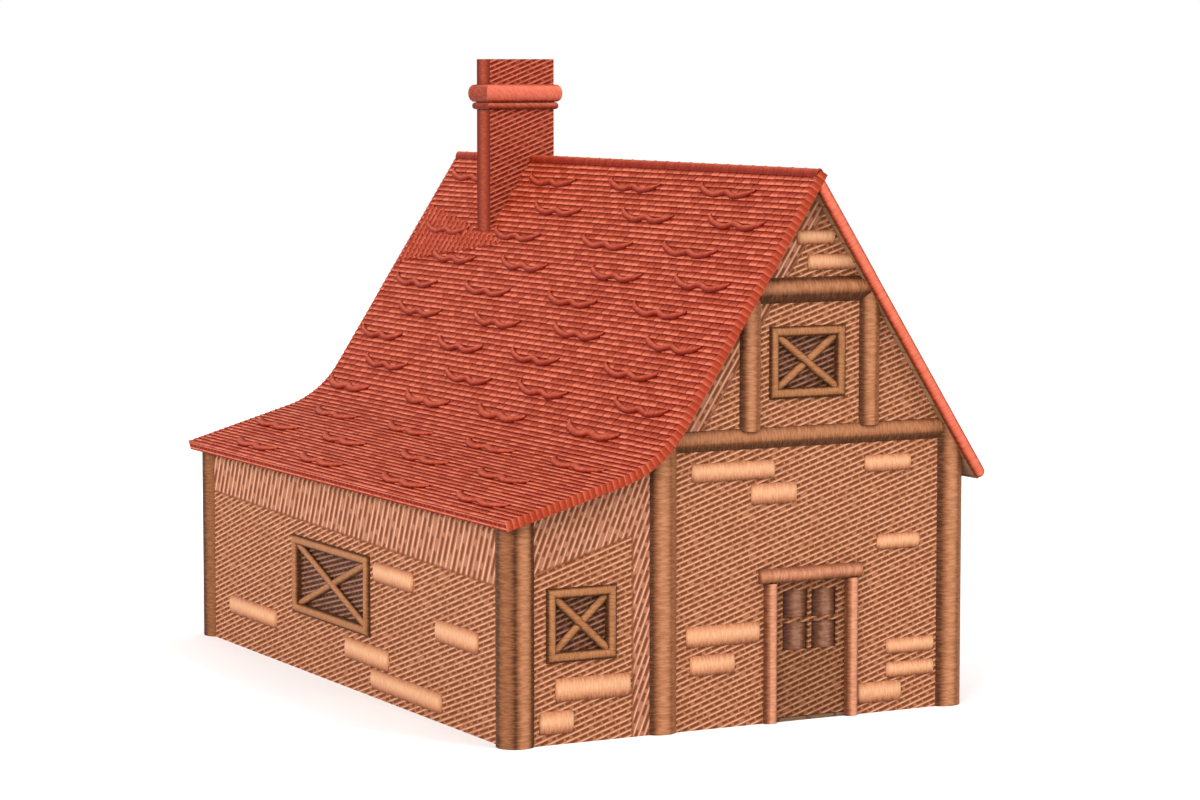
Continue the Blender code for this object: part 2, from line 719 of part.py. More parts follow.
def make_chimney():
    """The stack from the ground up, and its head: a corbel, a wide band and the flue's mouth."""
    low = (STACK_LEFT, STACK_FRONT, 0.0)
    box("chimney_stack", low, (STACK_RIGHT, STACK_REAR, CORBEL_Z - GAP), "brick")
    steps = [
        (0.0, STACK_TOP),
        (0.0, BAND_TOP),
        (BAND_PROUD, BAND_TOP),
        (BAND_PROUD, BAND_Z),
        (CORBEL_PROUD, BAND_Z),
        (CORBEL_PROUD, CORBEL_Z),
    ]
    bm = bmesh.new()
    rings = []
    for proud, z in steps:
        corners = (
            (STACK_LEFT - proud, STACK_FRONT - proud, z),
            (STACK_RIGHT + proud, STACK_FRONT - proud, z),
            (STACK_RIGHT + proud, STACK_REAR + proud, z),
            (STACK_LEFT - proud, STACK_REAR + proud, z),
        )
        rings.append([bm.verts.new(corner) for corner in corners])
    bm.faces.new(rings[0])
    bm.faces.new(rings[-1])
    for upper, lower in zip(rings, rings[1:]):
        for i in range(4):
            j = (i + 1) % 4
            bm.faces.new((upper[i], upper[j], lower[j], lower[i]))
    head = add_object("chimney_head", bm, "brick")
    low = (STACK_LEFT + FLUE_WALL, STACK_FRONT + FLUE_WALL, FLUE_FLOOR)
    high = (STACK_RIGHT - FLUE_WALL, STACK_REAR - FLUE_WALL, STACK_TOP + 1.0)
    cut(head, as_cutter(box("flue_space", low, high, None)))


def make_ground_floor(posts, stack_space):
    """A floor laid between the walls, with a step out through the doorway to the door's foot."""
    left = LEFT_OUTER + WALL_THICKNESS + GAP
    right = RIGHT_OUTER - WALL_THICKNESS - GAP
    front = WALL_INNER + GAP
    rear = from_rear(WALL_INNER) - GAP
    tail_left = DOORWAY_LEFT + JAMB_TAIL_WIDTH + GAP
    tail_right = DOORWAY_RIGHT - JAMB_TAIL_WIDTH - GAP
    outline = [
        (left, front),
        (DOORWAY_LEFT + GAP, front),
        (DOORWAY_LEFT + GAP, LEAF_INNER + GAP),
        (tail_left, LEAF_INNER + GAP),
        (tail_left, WALL_FRONT + GAP),
        (tail_right, WALL_FRONT + GAP),
        (tail_right, LEAF_INNER + GAP),
        (DOORWAY_RIGHT - GAP, LEAF_INNER + GAP),
        (DOORWAY_RIGHT - GAP, front),
        (right, front),
        (right, rear),
        (left, rear),
    ]
    floor = prism("ground_floor", outline, "Z", 0.0, GROUND_FLOOR_TOP, "flagstone")
    cut(floor, posts["post_front_middle"], posts["post_rear_middle"], stack_space)


def make_loft_floor(posts, stack_space):
    """The upper floor between the two plates, level with the foot of the gables."""
    low = (ARCADE_PLATE_X, WALL_INNER + GAP, LOFT_FLOOR_Z)
    high = (RIGHT_PLATE_X, from_rear(WALL_INNER) - GAP, LOFT_FLOOR_Z + LOFT_FLOOR_THICKNESS)
    floor = box("loft_floor", low, high, "floor_boards")
    cut(floor, stack_space)
    for name in ("front_middle", "front_right", "rear_middle", "rear_right"):
        cut(floor, posts["post_" + name])


def nose(width, height):
    """The outer half of a rounded moulding, from one edge of its foot to the other."""
    points = []
    for i in range(NOSE_STEPS + 1):
        angle = math.pi * i / NOSE_STEPS
        across = width / 2 * (1 - math.cos(angle))
        points.append((across, height * math.sin(angle) ** 0.6))
    return points


def make_jamb(name, mirror):
    """A door post: a round nose in front of the wall and a tail that lines the doorway."""
    face = WALL_FRONT - GAP
    outside = -JAMB_NOSE_OUTSIDE
    outline = [(outside + across, face - out) for across, out in nose(JAMB_NOSE_WIDTH, JAMB_PROUD)]
    outline += [
        (JAMB_TAIL_WIDTH, face),
        (JAMB_TAIL_WIDTH, LEAF_INNER),
        (GAP, LEAF_INNER),
        (GAP, face),
    ]
    edge = DOORWAY_RIGHT if mirror else DOORWAY_LEFT
    sign = -1 if mirror else 1
    placed = [(edge + sign * x, y) for x, y in outline]
    jamb = prism(name, placed, "Z", 0.0, LINTEL_BOTTOM + LINTEL_REBATE - GAP, "frame_wood")
    low = (-3.0, -1.0, LINTEL_BOTTOM - GAP)
    step = as_cutter(box(name + "_step", low, (3.0, face, 3.0), None))
    cut(jamb, step)


def make_lintel():
    """The log over the door, rounded in front, with a rebate that the leaf closes against."""
    face = WALL_FRONT - GAP
    outline = [
        (face - out, LINTEL_BOTTOM + up)
        for up, out in nose(LINTEL_TOP - LINTEL_BOTTOM, LINTEL_PROUD)
    ]
    outline += [
        (WALL_INNER, LINTEL_TOP),
        (WALL_INNER, LINTEL_BOTTOM + LINTEL_REBATE + GAP),
        (face, LINTEL_BOTTOM + LINTEL_REBATE + GAP),
    ]
    prism("door_lintel", outline, "X", LINTEL_LEFT, LINTEL_RIGHT, "frame_wood")


def make_leaf():
    """The door's leaf, with its origin on the hinges' axis, and its glass."""
    bm = bmesh.new()
    low = (LEAF_LEFT, LEAF_OUTER, LEAF_BOTTOM)
    add_box(bm, low, (LEAF_RIGHT, LEAF_INNER, LEAF_TOP))
    origin = (HINGE_X, HINGE_Y, 0.0)
    leaf = add_object("door_leaf", bm, "door_wood", origin)
    middle_x = (PANES_LEFT + PANES_RIGHT) / 2
    middle_z = (PANES_BOTTOM + PANES_TOP) / 2
    columns = ((PANES_LEFT, middle_x - PANE_MULLION / 2), (middle_x + PANE_MULLION / 2, PANES_RIGHT))
    rows = ((PANES_BOTTOM, middle_z - PANE_TRANSOM / 2), (middle_z + PANE_TRANSOM / 2, PANES_TOP))
    for i, (x0, x1) in enumerate(columns):
        for j, (z0, z1) in enumerate(rows):
            light = box(f"leaf_light_{i}_{j}", (x0, 0.0, z0), (x1, 0.5, z1), None)
            cut(leaf, as_cutter(light))
    low = (PANES_LEFT - GLASS_LAP, LEAF_INNER - GLASS_POCKET, PANES_BOTTOM - GLASS_LAP)
    high = (PANES_RIGHT + GLASS_LAP, 0.5, PANES_TOP + GLASS_LAP)
    cut(leaf, as_cutter(box("leaf_glass_pocket", low, high, None)))

    bm = bmesh.new()
    low = tuple(value + GAP for value in low)
    back = LEAF_INNER - GLASS_POCKET + GAP + GLASS_THICKNESS
    add_box(bm, low, (high[0] - GAP, back, high[2] - GAP))
    add_object("door_glass", bm, "glass", origin)


def make_hinges():
    """Two pins on the frame, and two straps on the leaf with eyes that turn on them."""
    origin = (HINGE_X, HINGE_Y, 0.0)
    axis = (HINGE_X, HINGE_Y)
    for level, z in HINGE_HEIGHTS.items():
        eye_low, eye_high = z - STRAP_HEIGHT / 2, z + STRAP_HEIGHT / 2

        bm = bmesh.new()
        low = (HINGE_X, LEAF_INNER + GAP, eye_low)
        add_box(bm, low, (HINGE_X + STRAP_LENGTH, LEAF_INNER + GAP + STRAP_THICKNESS, eye_high))
        strap = add_object("hinge_strap_" + level, bm, "iron", origin)
        ring = circle(axis, EYE_OUTER_RADIUS, HINGE_SIDES)
        eye = as_cutter(prism(f"eye_{level}", ring, "Z", eye_low, eye_high, None))
        combine(strap, eye, "UNION")
        bore = circle(axis, EYE_INNER_RADIUS, HINGE_SIDES)
        cut(strap, as_cutter(prism(f"eye_{level}_bore", bore, "Z", 0.0, 3.0, None)))

        shoulder_top = eye_low - PIN_PLAY
        plate_right = HINGE_X - LEAF_SIDE_GAP / 2 - 0.015
        plate_low = (plate_right - PIN_PLATE[0], LEAF_INNER + GAP, shoulder_top - PIN_PLATE[2])
        plate_high = (plate_right, LEAF_INNER + GAP + PIN_PLATE[1], shoulder_top)
        plate = box("hinge_pin_" + level, plate_low, plate_high, "iron")
        arm_low = (plate_right - 0.04, plate_high[1] - 0.002, shoulder_top - PIN_SHOULDER)
        arm_high = (HINGE_X, HINGE_Y + 0.004, shoulder_top)
        combine(plate, as_cutter(box(f"pin_{level}_arm", arm_low, arm_high, None)), "UNION")
        boss = circle(axis, EYE_OUTER_RADIUS, HINGE_SIDES)
        low_z = shoulder_top - PIN_SHOULDER
        boss = as_cutter(prism(f"pin_{level}_boss", boss, "Z", low_z, shoulder_top, None))
        combine(plate, boss, "UNION")
        pin = circle(axis, PIN_RADIUS, HINGE_SIDES)
        pin = as_cutter(prism(f"pin_{level}_shaft", pin, "Z", low_z, eye_high + 0.006, None))
        combine(plate, pin, "UNION")


def main():
    roof_space = roof_cutter()
    stack_space = stack_cutter()
    posts = make_posts(roof_space)
    plates = make_plates(posts)
    make_arcade_post(plates)
    tie_front = make_gable("front", lambda depth: depth, roof_space, posts)
    tie_rear = make_gable("rear", from_rear, roof_space, posts)
    make_front_walls(posts, tie_front)
    make_rear_wall(posts, tie_rear)
    make_lean_to_ends(roof_space, posts)
    make_long_walls(posts, plates)
    make_roof(stack_space)
    make_chimney()
    make_ground_floor(posts, stack_space)
    make_loft_floor(posts, stack_space)
    make_jamb("door_jamb_left", False)
    make_jamb("door_jamb_right", True)
    make_lintel()
    make_leaf()
    make_hinges()


clear_scene()
MATERIALS = {name: make_material(name) for name in COLOURS}
PLACEMENT = bpy.data.objects.new("placement", None)
PLACEMENT.location = (-CENTRE_X, -CENTRE_Y, 0.0)
bpy.context.collection.objects.link(PLACEMENT)
main()
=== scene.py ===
"""The finish of the cottage: tiles, verges, light blocks, window bars and every surface.

Metres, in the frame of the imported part: the origin is on the ground at the middle of the building,
the front faces -Y and the lean-to lies towards -X. All that is added sits on the part's own solids.
"""

import math
import random

import bmesh
import bpy
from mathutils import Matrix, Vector


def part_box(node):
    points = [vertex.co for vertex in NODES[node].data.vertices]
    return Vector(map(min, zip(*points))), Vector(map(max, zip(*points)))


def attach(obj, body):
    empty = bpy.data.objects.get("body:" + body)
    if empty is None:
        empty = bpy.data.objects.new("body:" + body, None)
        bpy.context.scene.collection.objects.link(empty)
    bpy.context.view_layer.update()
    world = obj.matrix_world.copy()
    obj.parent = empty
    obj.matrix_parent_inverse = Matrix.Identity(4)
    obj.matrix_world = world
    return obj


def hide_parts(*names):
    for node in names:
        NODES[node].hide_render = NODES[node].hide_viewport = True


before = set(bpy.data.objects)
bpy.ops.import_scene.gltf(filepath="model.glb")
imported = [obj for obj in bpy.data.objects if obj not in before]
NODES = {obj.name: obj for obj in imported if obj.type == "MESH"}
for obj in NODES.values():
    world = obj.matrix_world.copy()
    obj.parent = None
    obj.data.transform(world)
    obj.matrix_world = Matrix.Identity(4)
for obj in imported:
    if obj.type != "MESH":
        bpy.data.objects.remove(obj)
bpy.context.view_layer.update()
HOUSE = "cottage"
DOOR = "front_door"
SEED = 11
ACROSS = (1.0, 0.0, 0.0)
BACK = (0.0, 1.0, 0.0)
TO_FRONT = (0.0, -1.0, 0.0)
TO_LEFT = (-1.0, 0.0, 0.0)
UP = (0.0, 0.0, 1.0)

# The photograph's viewpoint
CAMERA_PLACE = (-23.052, -44.484, 8.6528)
CAMERA_TURN = (84.5624, 0.0, -28.0)
CAMERA_LENS = 104.57

# Lights: strength, azimuth to the right of the front's normal, elevation, softness in degrees
WORLD_STRENGTH = 1.0
KEY_LIGHT = (1.5, 38.0, 46.0, 25.0)
FILL_LIGHT = (2.4, -62.0, 30.0, 40.0)
FLOOR_SIZE = 160.0

# Roof, as the part's source has it
ROOF_THICKNESS = 0.14
RIGHT_EAVE_Z = 3.17
KICK_Z = 3.6
LEFT_EAVE_Z = 2.96
KICK_TANGENT = 0.55
ARC_STEPS = 8

# Meshes: steps of round sections, how near points are joined, and the degrees of a sharp edge
ROUND_STEPS = 10
NOSE_STEPS = 8
WELD = 0.0005
NODE_WELD = 0.0001
NODE_SPLIT = 30

# Tiles, whose tops reach the plane of the solid roof's top. A lift is a height over that plane
TILE_GAUGE = 0.088
TILE_LAP = 0.018
TILE_WIDTH = 0.215
TILE_GAP = 0.019
TILE_BED = -0.03
TILE_THIN = 0.006
TILE_NOSE = 0.009
TILE_DEPTH = 0.02
TILE_UNDERCUT = 0.002
# Painted shade on each tile's points: dark where the course above laps it and under the nose, with a
# painted highlight on the nose
TILE_SHADED = 0.36
TILE_SHADES = [0.0, 0.0, 0.42, 1.15, 0.9, 0.0]
TILE_SLIP = 0.003
TILE_SETTLING = 0.004
TILE_LEAST = 0.03
COURSE_SLIP = 0.3
EAVE_SET_BACK = 0.012
RIDGE_CLEARANCE = 0.04

# Scalloped ridges: two lobes and a cusp each, in rows that step sideways, as on the solids
MARK_LENGTH = 1.56
MARK_DEPTH = 0.2
MARK_CUSP = 0.075
MARK_CUSP_WIDTH = 0.11
MARK_CUSP_PLACE = 0.49
MARK_END = 0.965
MARK_STEPS = 26
MARK_CROWDING = 1.25
MARK_RADIUS = 0.048
MARK_SQUASH = 0.75
MARK_LOW_WIDTH = 1.25
MARK_SIDES = 10
MARK_TIP = 0.4
MARK_TAPER = 6.0
MARK_LIFT = 0.002
MARK_COLUMNS = 4
MARK_COLUMN = 2.62
MARK_FIRST = (2.05, 1.28)
MARK_SHIFT = 0.12
MARK_TOP_ROW = 0.3
MARK_ROW = 0.4775
MARK_LOW_ROW = 0.7
MARK_MARGIN = 0.1

# Wedge of long tiles beside the stack: its edges down the slope, at the stack and at the verge
WEDGE_PITCH = 0.16
WEDGE_RADIUS = 0.066
WEDGE_SQUASH = 0.5
WEDGE_PROUD = 0.018
WEDGE_REACH = 0.45
WEDGE_NARROW = (1.44, 1.58)
WEDGE_WIDE = (0.95, 2.05)
WEDGE_GAPS = (0.02, 0.01)

# Verges and ridge
ROLL_RADIUS = 0.082
ROLL_SIDES = 20
ROLL_COVER = 1.6
ROLL_PROUD = 0.012
ROLL_ENDS = (0.02, 0.004)
VERGE_GAP = 0.001
VERGE_PLATE = 0.02
PLATE_COVER = 0.006
PLATE_LIFTS = (-0.012, 0.003, 0.002 - ROOF_THICKNESS, 0.006 - ROOF_THICKNESS)
PLATE_TINTS = (0.4, 0.8)
# Painted shade on the verge plates: dark at the upper end of each, lighter at the lower
PLATE_SHADES = [0.28, 0.9, 0.72, 0.28]
RIDGE_RADIUS = 0.055
RIDGE_LENGTH = 0.34
RIDGE_SINK = 0.095
RIDGE_PROUD = 0.012
RIDGE_LAP = 0.02
RIDGE_GAP = 0.002
RIDGE_BEAD = [(0.0, 0.0), (0.012, 0.006), (0.04, 0.006), (0.05, 0.0)]

# Window frames, their crossed bars, and the door's panes
BAR_RADIUS = 0.06
BAR_DEPTH = 0.034
BAR_SIDES = 14
BAR_PLACES = (-0.029, -0.01)
BAR_OVERLAP = 0.01
FRAME_BAR = 0.14
FRAME_BAR_SIDE = 0.185
FRAME_FOOT = 0.006
FRAME_PROUD = 0.06
FRAME_BACK = 0.15
PANE_BULGE = 0.016
PANE_EDGE = 0.02
PANE_CLEARANCE = 0.001
# The painted shade across each door pane: its peak, foot, top and sharpness
PANE_SHADES = (0.62, 0.0, 0.15, 1.9)
GLASS_FINISH = (0.7, 0.004)
GLASS_SIDE_TILT = 13.0
DOOR_MULLION = 0.05
DOOR_TRANSOM = 0.06

# Lintel, as the part's source has it, and its round ends: inset and size
LINTEL_PROUD = 0.1
LINTEL_REBATE = 0.036
LINTEL_FULLNESS = 0.6
# The lintel's painted shade is round_shades, scaled by LINTEL_LIGHT
LINTEL_LIGHT = 0.85
LINTEL_TALL = 0.7
LINTEL_ENDS = [(0.0, 0.35), (0.008, 0.7), (0.025, 0.9), (0.06, 1.0)]

# Chimney head: heights from the ground, and how far each part stands out
CORBEL_Z = 8.03
BAND_Z = 8.14
BAND_TOP = 8.41
CORBEL_PROUD = 0.055
BAND_PROUD = 0.1
BAND_FULLNESS = 0.7
FLUE_WALL = 0.12
FLUE_FLOOR = 8.36

# Light blocks let into the walls
BLOCK_PROUD = 0.045
BLOCK_SINK = 0.03
BLOCK_ENDS = [(0.0, 0.1), (0.008, 0.5), (0.022, 0.82), (0.05, 1.0)]
BLOCK_FULLNESS = 0.8
BLOCK_TALL = 0.75
# Painted shade on blocks: darker towards their ends down to BLOCK_LIGHT, and SHADE_IN_WALL on points
# inside the wall
BLOCK_LIGHT = 0.55
SHADE_IN_WALL = 0.2

# Blocks of each wall: start and end along it from the building's middle, low and high edge
FRONT_BLOCKS = [
    (-0.835, 0.425, 3.27, 3.52),
    (0.065, 0.765, 2.93, 3.21),
    (1.825, 2.555, 3.27, 3.5),
    (2.025, 2.705, 2.21, 2.42),
    (-0.915, 0.205, 1.1, 1.38),
    (-0.855, -0.175, 0.72, 0.99),
    (2.185, 2.945, 0.78, 0.99),
    (2.185, 2.945, 0.46, 0.67),
    (1.725, 2.425, 0.14, 0.42),
]
GABLE_BLOCKS = [(0.745, 1.335, 6.34, 6.53), (0.915, 1.725, 6.0, 6.21)]
LEAN_TO_BLOCKS = [(-2.835, -1.735, 0.55, 0.86), (-3.065, -2.565, 0.14, 0.44)]
SIDE_BLOCKS = [
    (-2.345, -1.075, 1.62, 1.9),
    (2.395, 4.185, 0.46, 0.74),
    (-4.335, -3.065, 1.08, 1.38),
    (-1.545, -0.095, 0.42, 0.72),
    (-3.225, -0.975, 0.12, 0.4),
]

# Colours, linear: the dark, the middle and the light tone of each
PLASTER = ((0.14, 0.035, 0.009), (0.322, 0.12, 0.056), (0.575, 0.283, 0.166))
# The palette of the painted shadow bands on the walls
SHADOW_BAND = ((0.15, 0.042, 0.015), (0.345, 0.138, 0.074), (0.59, 0.29, 0.186))
LOG = ((0.055, 0.016, 0.004), (0.23, 0.082, 0.031), (0.44, 0.192, 0.092))
COPPER = ((0.1, 0.027, 0.009), (0.29, 0.103, 0.047), (0.53, 0.232, 0.131))
BAR = ((0.048, 0.014, 0.003), (0.19, 0.068, 0.022), (0.37, 0.155, 0.064))
BLOCK = ((0.19, 0.058, 0.023), (0.46, 0.192, 0.092), (0.6, 0.325, 0.175))
TILE = ((0.138, 0.004, 0.001), (0.3, 0.034, 0.01), (0.57, 0.138, 0.078))
ROLL = ((0.128, 0.016, 0.005), (0.44, 0.075, 0.033), (0.6, 0.14, 0.084))
HEAD = ((0.2, 0.026, 0.01), (0.42, 0.074, 0.036), (0.58, 0.138, 0.08))
BRICK = ((0.13, 0.009, 0.002), (0.285, 0.046, 0.019), (0.52, 0.134, 0.08))
DOOR_WOOD = ((0.075, 0.018, 0.003), (0.19, 0.07, 0.028), (0.36, 0.17, 0.093))
GLASS = ((0.03, 0.007, 0.002), (0.1, 0.034, 0.015), (0.26, 0.122, 0.075))
BOARDS = ((0.12, 0.06, 0.03), (0.25, 0.14, 0.07), (0.36, 0.22, 0.12))
STONE = ((0.07, 0.035, 0.018), (0.12, 0.065, 0.035), (0.18, 0.1, 0.06))
IRON = ((0.02, 0.02, 0.02), (0.028, 0.028, 0.03), (0.035, 0.035, 0.04))
FLOOR = (0.88, 0.88, 0.88)
SPECULAR = 0.12

# Combed surfaces: lengths in metres, slants in degrees, and shares of a row for what lies across it
COMB_ROUGHNESS = 0.85
COMB_TILT = 18.0
COMB_LENGTH = 0.14
COMB_ROW = 0.072
COMB_LIGHT = 0.42
COMB_NOISE = (34.0, 3.0)
COMB_NOISE_SHARE = 0.4
ROW_STAGGER = 0.46
ROW_SPREAD = 3.7
# Ribs carry a painted highlight that is broken here and there, and dashes of painted shade lie in the
# grooves between them
RIB_PLACE = (0.72, 0.23)
RIB_HIGHLIGHT = 0.8
RIB_HIGHLIGHT_BREAKS = (0.3, 0.62)
RIB_HIGHLIGHT_LEAST = 0.38
GAP_PLACE = (0.24, 0.28)
GAP_SHADE = 0.62
DASH_ENDS = (0.1, 0.22)
DASH_UNEVEN = 1.6

# Other surfaces. A noise has its scale and its detail, a light its gain and its least
TILE_NOISE = (55.0, 3.0)
TILE_NOISE_SHARE = 0.45
TILE_LIGHT = (0.45, 0.6)
BRICK_COMB = (0.16, 0.068)
BRICK_TILT = 21.0
BRICK_SIDE = 0.7
# The painted highlight on the stack's sides: where it is full and where it ends, as shares of half a side
BRICK_SIDE_HIGHLIGHT = (0.05, 0.95)
BRICK_SIDE_LIGHT = (0.22, 0.34)
BOARD_NOISE = (5.0, 5.0)
BOARD_NOISE_SHARE = 0.6
BOARD_TINT_SHARE = 0.35
LOFT_BOARD = 0.18
SOFFIT_BOARD = 0.16
STONE_CELLS = (1.8, 0.8)
STONE_NOISE = (9.0, 4.0)
STONE_LIGHT = (0.6, 0.3)
IRON_NOISE = (60.0, 4.0)
JOINT_EDGE = (0.01, 0.05)
NOISE_ENDS = (0.3, 0.7)

# Bands of painted shadow under the eaves and the rakes, drawn with steeper strokes: their foot, its
# slope, and their slant
BAND_COMB = (0.26, 0.08)
# A darker line is painted along each band's edge, BAND_EDGE_LIGHT being its tone
BAND_EDGE = (0.004, 0.028)
BAND_EDGE_LIGHT = 0.4
RAKE_BAND = 0.335
RAKE_TILT = 57.0
LEAN_TO_BAND = 2.22
LEAN_TO_SLOPE = 0.29
# The lean-to's band also runs down a strip beside its post, as the post's painted shadow
LEAN_TO_STRIP = 0.25
LEAN_TO_TILT = 68.0
LEFT_BAND = (2.15, (0.0, -0.02, 1.0))
RIGHT_BAND = (2.7, UP)
SIDE_TILT = 66.0
SIDE_STRETCH = 1.8

# Round bars: the marks across them, and the shares of these and of the painted light and shade from a
# point's direction in its tone
BAR_ROUGHNESS = 0.6
GRAIN_PITCH = 0.024
GRAIN_COARSE = 0.03
GRAIN_LENGTH = 0.11
GRAIN_DEPTH = 0.004
GRAIN_SHARE = 0.26
GRAIN_DARK = 0.1
FACING_SHARE = 0.86
# Where a jamb's painted highlight lies and how far it reaches, as shares of its width
JAMB_LIGHT = (0.55, 0.52)
HEAD_GRAIN = (0.8, 0.0, 0.6)

# Lights painted on round bars: a direction, the range in which a bar turns light to it, a strength
POST_LIGHT = ((-0.11, -0.99, 0.0), 0.79, 1.06, 1.0)
POST_EDGE_LIGHT = ((0.91, -0.42, 0.0), 0.2, 0.9, 0.5)
BEAM_LIGHT = ((0.0, -0.98, 0.19), 0.82, 1.08, 1.0)
PLATE_LIGHT = ((-0.97, -0.12, 0.2), 0.4, 1.02, 1.0)
WINDOW_LIGHT = ((-0.12, -0.97, 0.2), 0.6, 1.08, 1.0)
SIDE_WINDOW_LIGHT = ((-0.97, -0.12, 0.2), 0.6, 1.08, 1.0)
VERGE_LIGHT = ((-0.14, -0.985, -0.09), 0.45, 1.07, 1.0)
MARK_LIGHT = ((-0.63, -0.12, 0.77), 0.52, 1.28, 1.0)
RIDGE_LIGHT = ((-0.5, 0.0, 0.87), 0.45, 1.3, 1.0)
LONG_TILE_LIGHT = ((-0.55, -0.62, 0.56), 0.55, 1.22, 1.0)
BAND_LIGHT = ((-0.3, -0.88, 0.36), 0.2, 1.02, 1.0)
CORBEL_LIGHT = ((-0.3, -0.7, 0.65), 0.2, 1.2, 1.0)

# The left corner posts, which look like two slim logs with the duller one at the left: that one is in
# painted shade with a weaker painted light, and both get a painted light from behind
CORNER_LIGHT = ((0.09, -1.0, 0.0), 0.86, 1.02, 0.85)
CORNER_SHADED_LIGHT = (0.84, 1.02, 0.48)
CORNER_SHADED_SIDES = ((-0.82, -0.57, 0.0), (-0.8, -0.6, 0.0))
BEHIND_LIGHT = ((-0.5, 0.87, 0.0), 0.8, 1.05, 0.7)

# Walls and roof, read from the part
ROOF_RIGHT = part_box("roof_right")
RIDGE_X = ROOF_RIGHT[0].x
RIDGE_Z = ROOF_RIGHT[1].z
RIGHT_EAVE_X = ROOF_RIGHT[1].x
LEFT_EAVE_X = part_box("roof_lean_to")[0].x
VERGE_FRONT = ROOF_RIGHT[0].y
VERGE_REAR = ROOF_RIGHT[1].y
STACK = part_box("chimney_stack")
WALL_PLANES = {
    "front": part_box("front_wall_left")[0].y,
    "rear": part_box("rear_wall")[1].y,
    "left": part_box("lean_to_side_wall")[0].x,
    "right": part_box("right_wall")[1].x,
}
ROOF_ANGLE = math.atan2(RIDGE_Z - RIGHT_EAVE_Z, RIGHT_EAVE_X - RIDGE_X)
KICK_X = RIDGE_X - (RIDGE_Z - KICK_Z) / math.tan(ROOF_ANGLE)
LEAN_TO_ANGLE = math.atan2(KICK_Z - LEFT_EAVE_Z, KICK_X - LEFT_EAVE_X)


class Material:
    """One material, with short calls that add nodes to it."""

    def __init__(self, name, **sockets):
        self.material = bpy.data.materials.new(name)
        self.material.use_nodes = True
        self.tree = self.material.node_tree
        self.shader = self.tree.nodes["Principled BSDF"]
        self.shader.inputs["Specular IOR Level"].default_value = SPECULAR
        for key, value in sockets.items():
            self.give(self.shader.inputs[key.replace("_", " ")], value)

    def give(self, socket, value):
        if isinstance(value, bpy.types.NodeSocket):
            self.tree.links.new(value, socket)
        elif isinstance(value, tuple) and socket.type == "RGBA":
            socket.default_value = (*value, 1.0)
        else:
            socket.default_value = value

    def node(self, kind, inputs, **settings):
        made = self.tree.nodes.new("ShaderNode" + kind)
        for key, value in settings.items():
            setattr(made, key, value)
        for key, value in inputs.items():
            self.give(made.inputs[key], value)
        return made

    def math(self, operation, a, b=0.0, c=0.0, clamp=False):
        inputs = {0: a, 1: b, 2: c}
        return self.node("Math", inputs, operation=operation, use_clamp=clamp).outputs[0]

    def times(self, a, b, add=0.0, clamp=False):
        return self.math("MULTIPLY_ADD", a, b, add, clamp)

    def dot(self, vector, direction):
        inputs = {0: vector, 1: direction}
        return self.node("VectorMath", inputs, operation="DOT_PRODUCT").outputs["Value"]

    def mix(self, factor, a, b):
        return self.node("Mix", {0: factor, 6: a, 7: b}, data_type="RGBA").outputs[2]

    def tones(self, amount, palette):
        """A palette's dark tone at 0, its middle one at a half and its light one at 1."""
        dark, middle, light = palette
        low = self.mix(self.times(amount, 2.0, clamp=True), dark, middle)
        return self.mix(self.times(amount, 2.0, -1.0, clamp=True), low, light)

    def blend(self, factor, a, b):
        return self.node("Mix", {0: factor, 2: a, 3: b}, data_type="FLOAT").outputs[0]

    def step(self, value, low, high):
        """0 below low, 1 above high, smooth between them."""
        inputs = {"Value": value, "From Min": low, "From Max": high}
        return self.node("MapRange", inputs, interpolation_type="SMOOTHSTEP").outputs["Result"]

    def hump(self, value, centre, width):
        """1 around centre, falling to 0 at width from it."""
        off = self.math("ABSOLUTE", self.math("SUBTRACT", value, centre))
        return self.math("SUBTRACT", 1.0, self.step(off, 0.2 * width, width))

    def place(self):
        return self.node("TexCoord", {}).outputs["Object"]

    def normal(self):
        return self.node("NewGeometry", {}).outputs["Normal"]

    def noise(self, vector, scale, detail=2.0):
        inputs = {"Vector": vector, "Scale": scale, "Detail": detail}
        return self.node("TexNoise", inputs).outputs[0]

    def painted(self, name):
        return self.node("Attribute", {}, attribute_name=name).outputs["Fac"]

    def flat(self, across, up, angle=0.0):
        """Two coordinates on the plane of two directions, turned by degrees."""
        where = self.place()
        turn = math.radians(angle)
        along = Vector(across) * math.cos(turn) + Vector(up) * math.sin(turn)
        over = Vector(up) * math.cos(turn) - Vector(across) * math.sin(turn)
        return self.dot(where, tuple(along)), self.dot(where, tuple(over))

    def finish(self, colour, height=None, distance=0.01):
        self.give(self.shader.inputs["Base Color"], colour)
        if height is not None:
            bump = self.node("Bump", {"Height": height, "Distance": distance})
            self.give(self.shader.inputs["Normal"], bump.outputs[0])
        return self.material


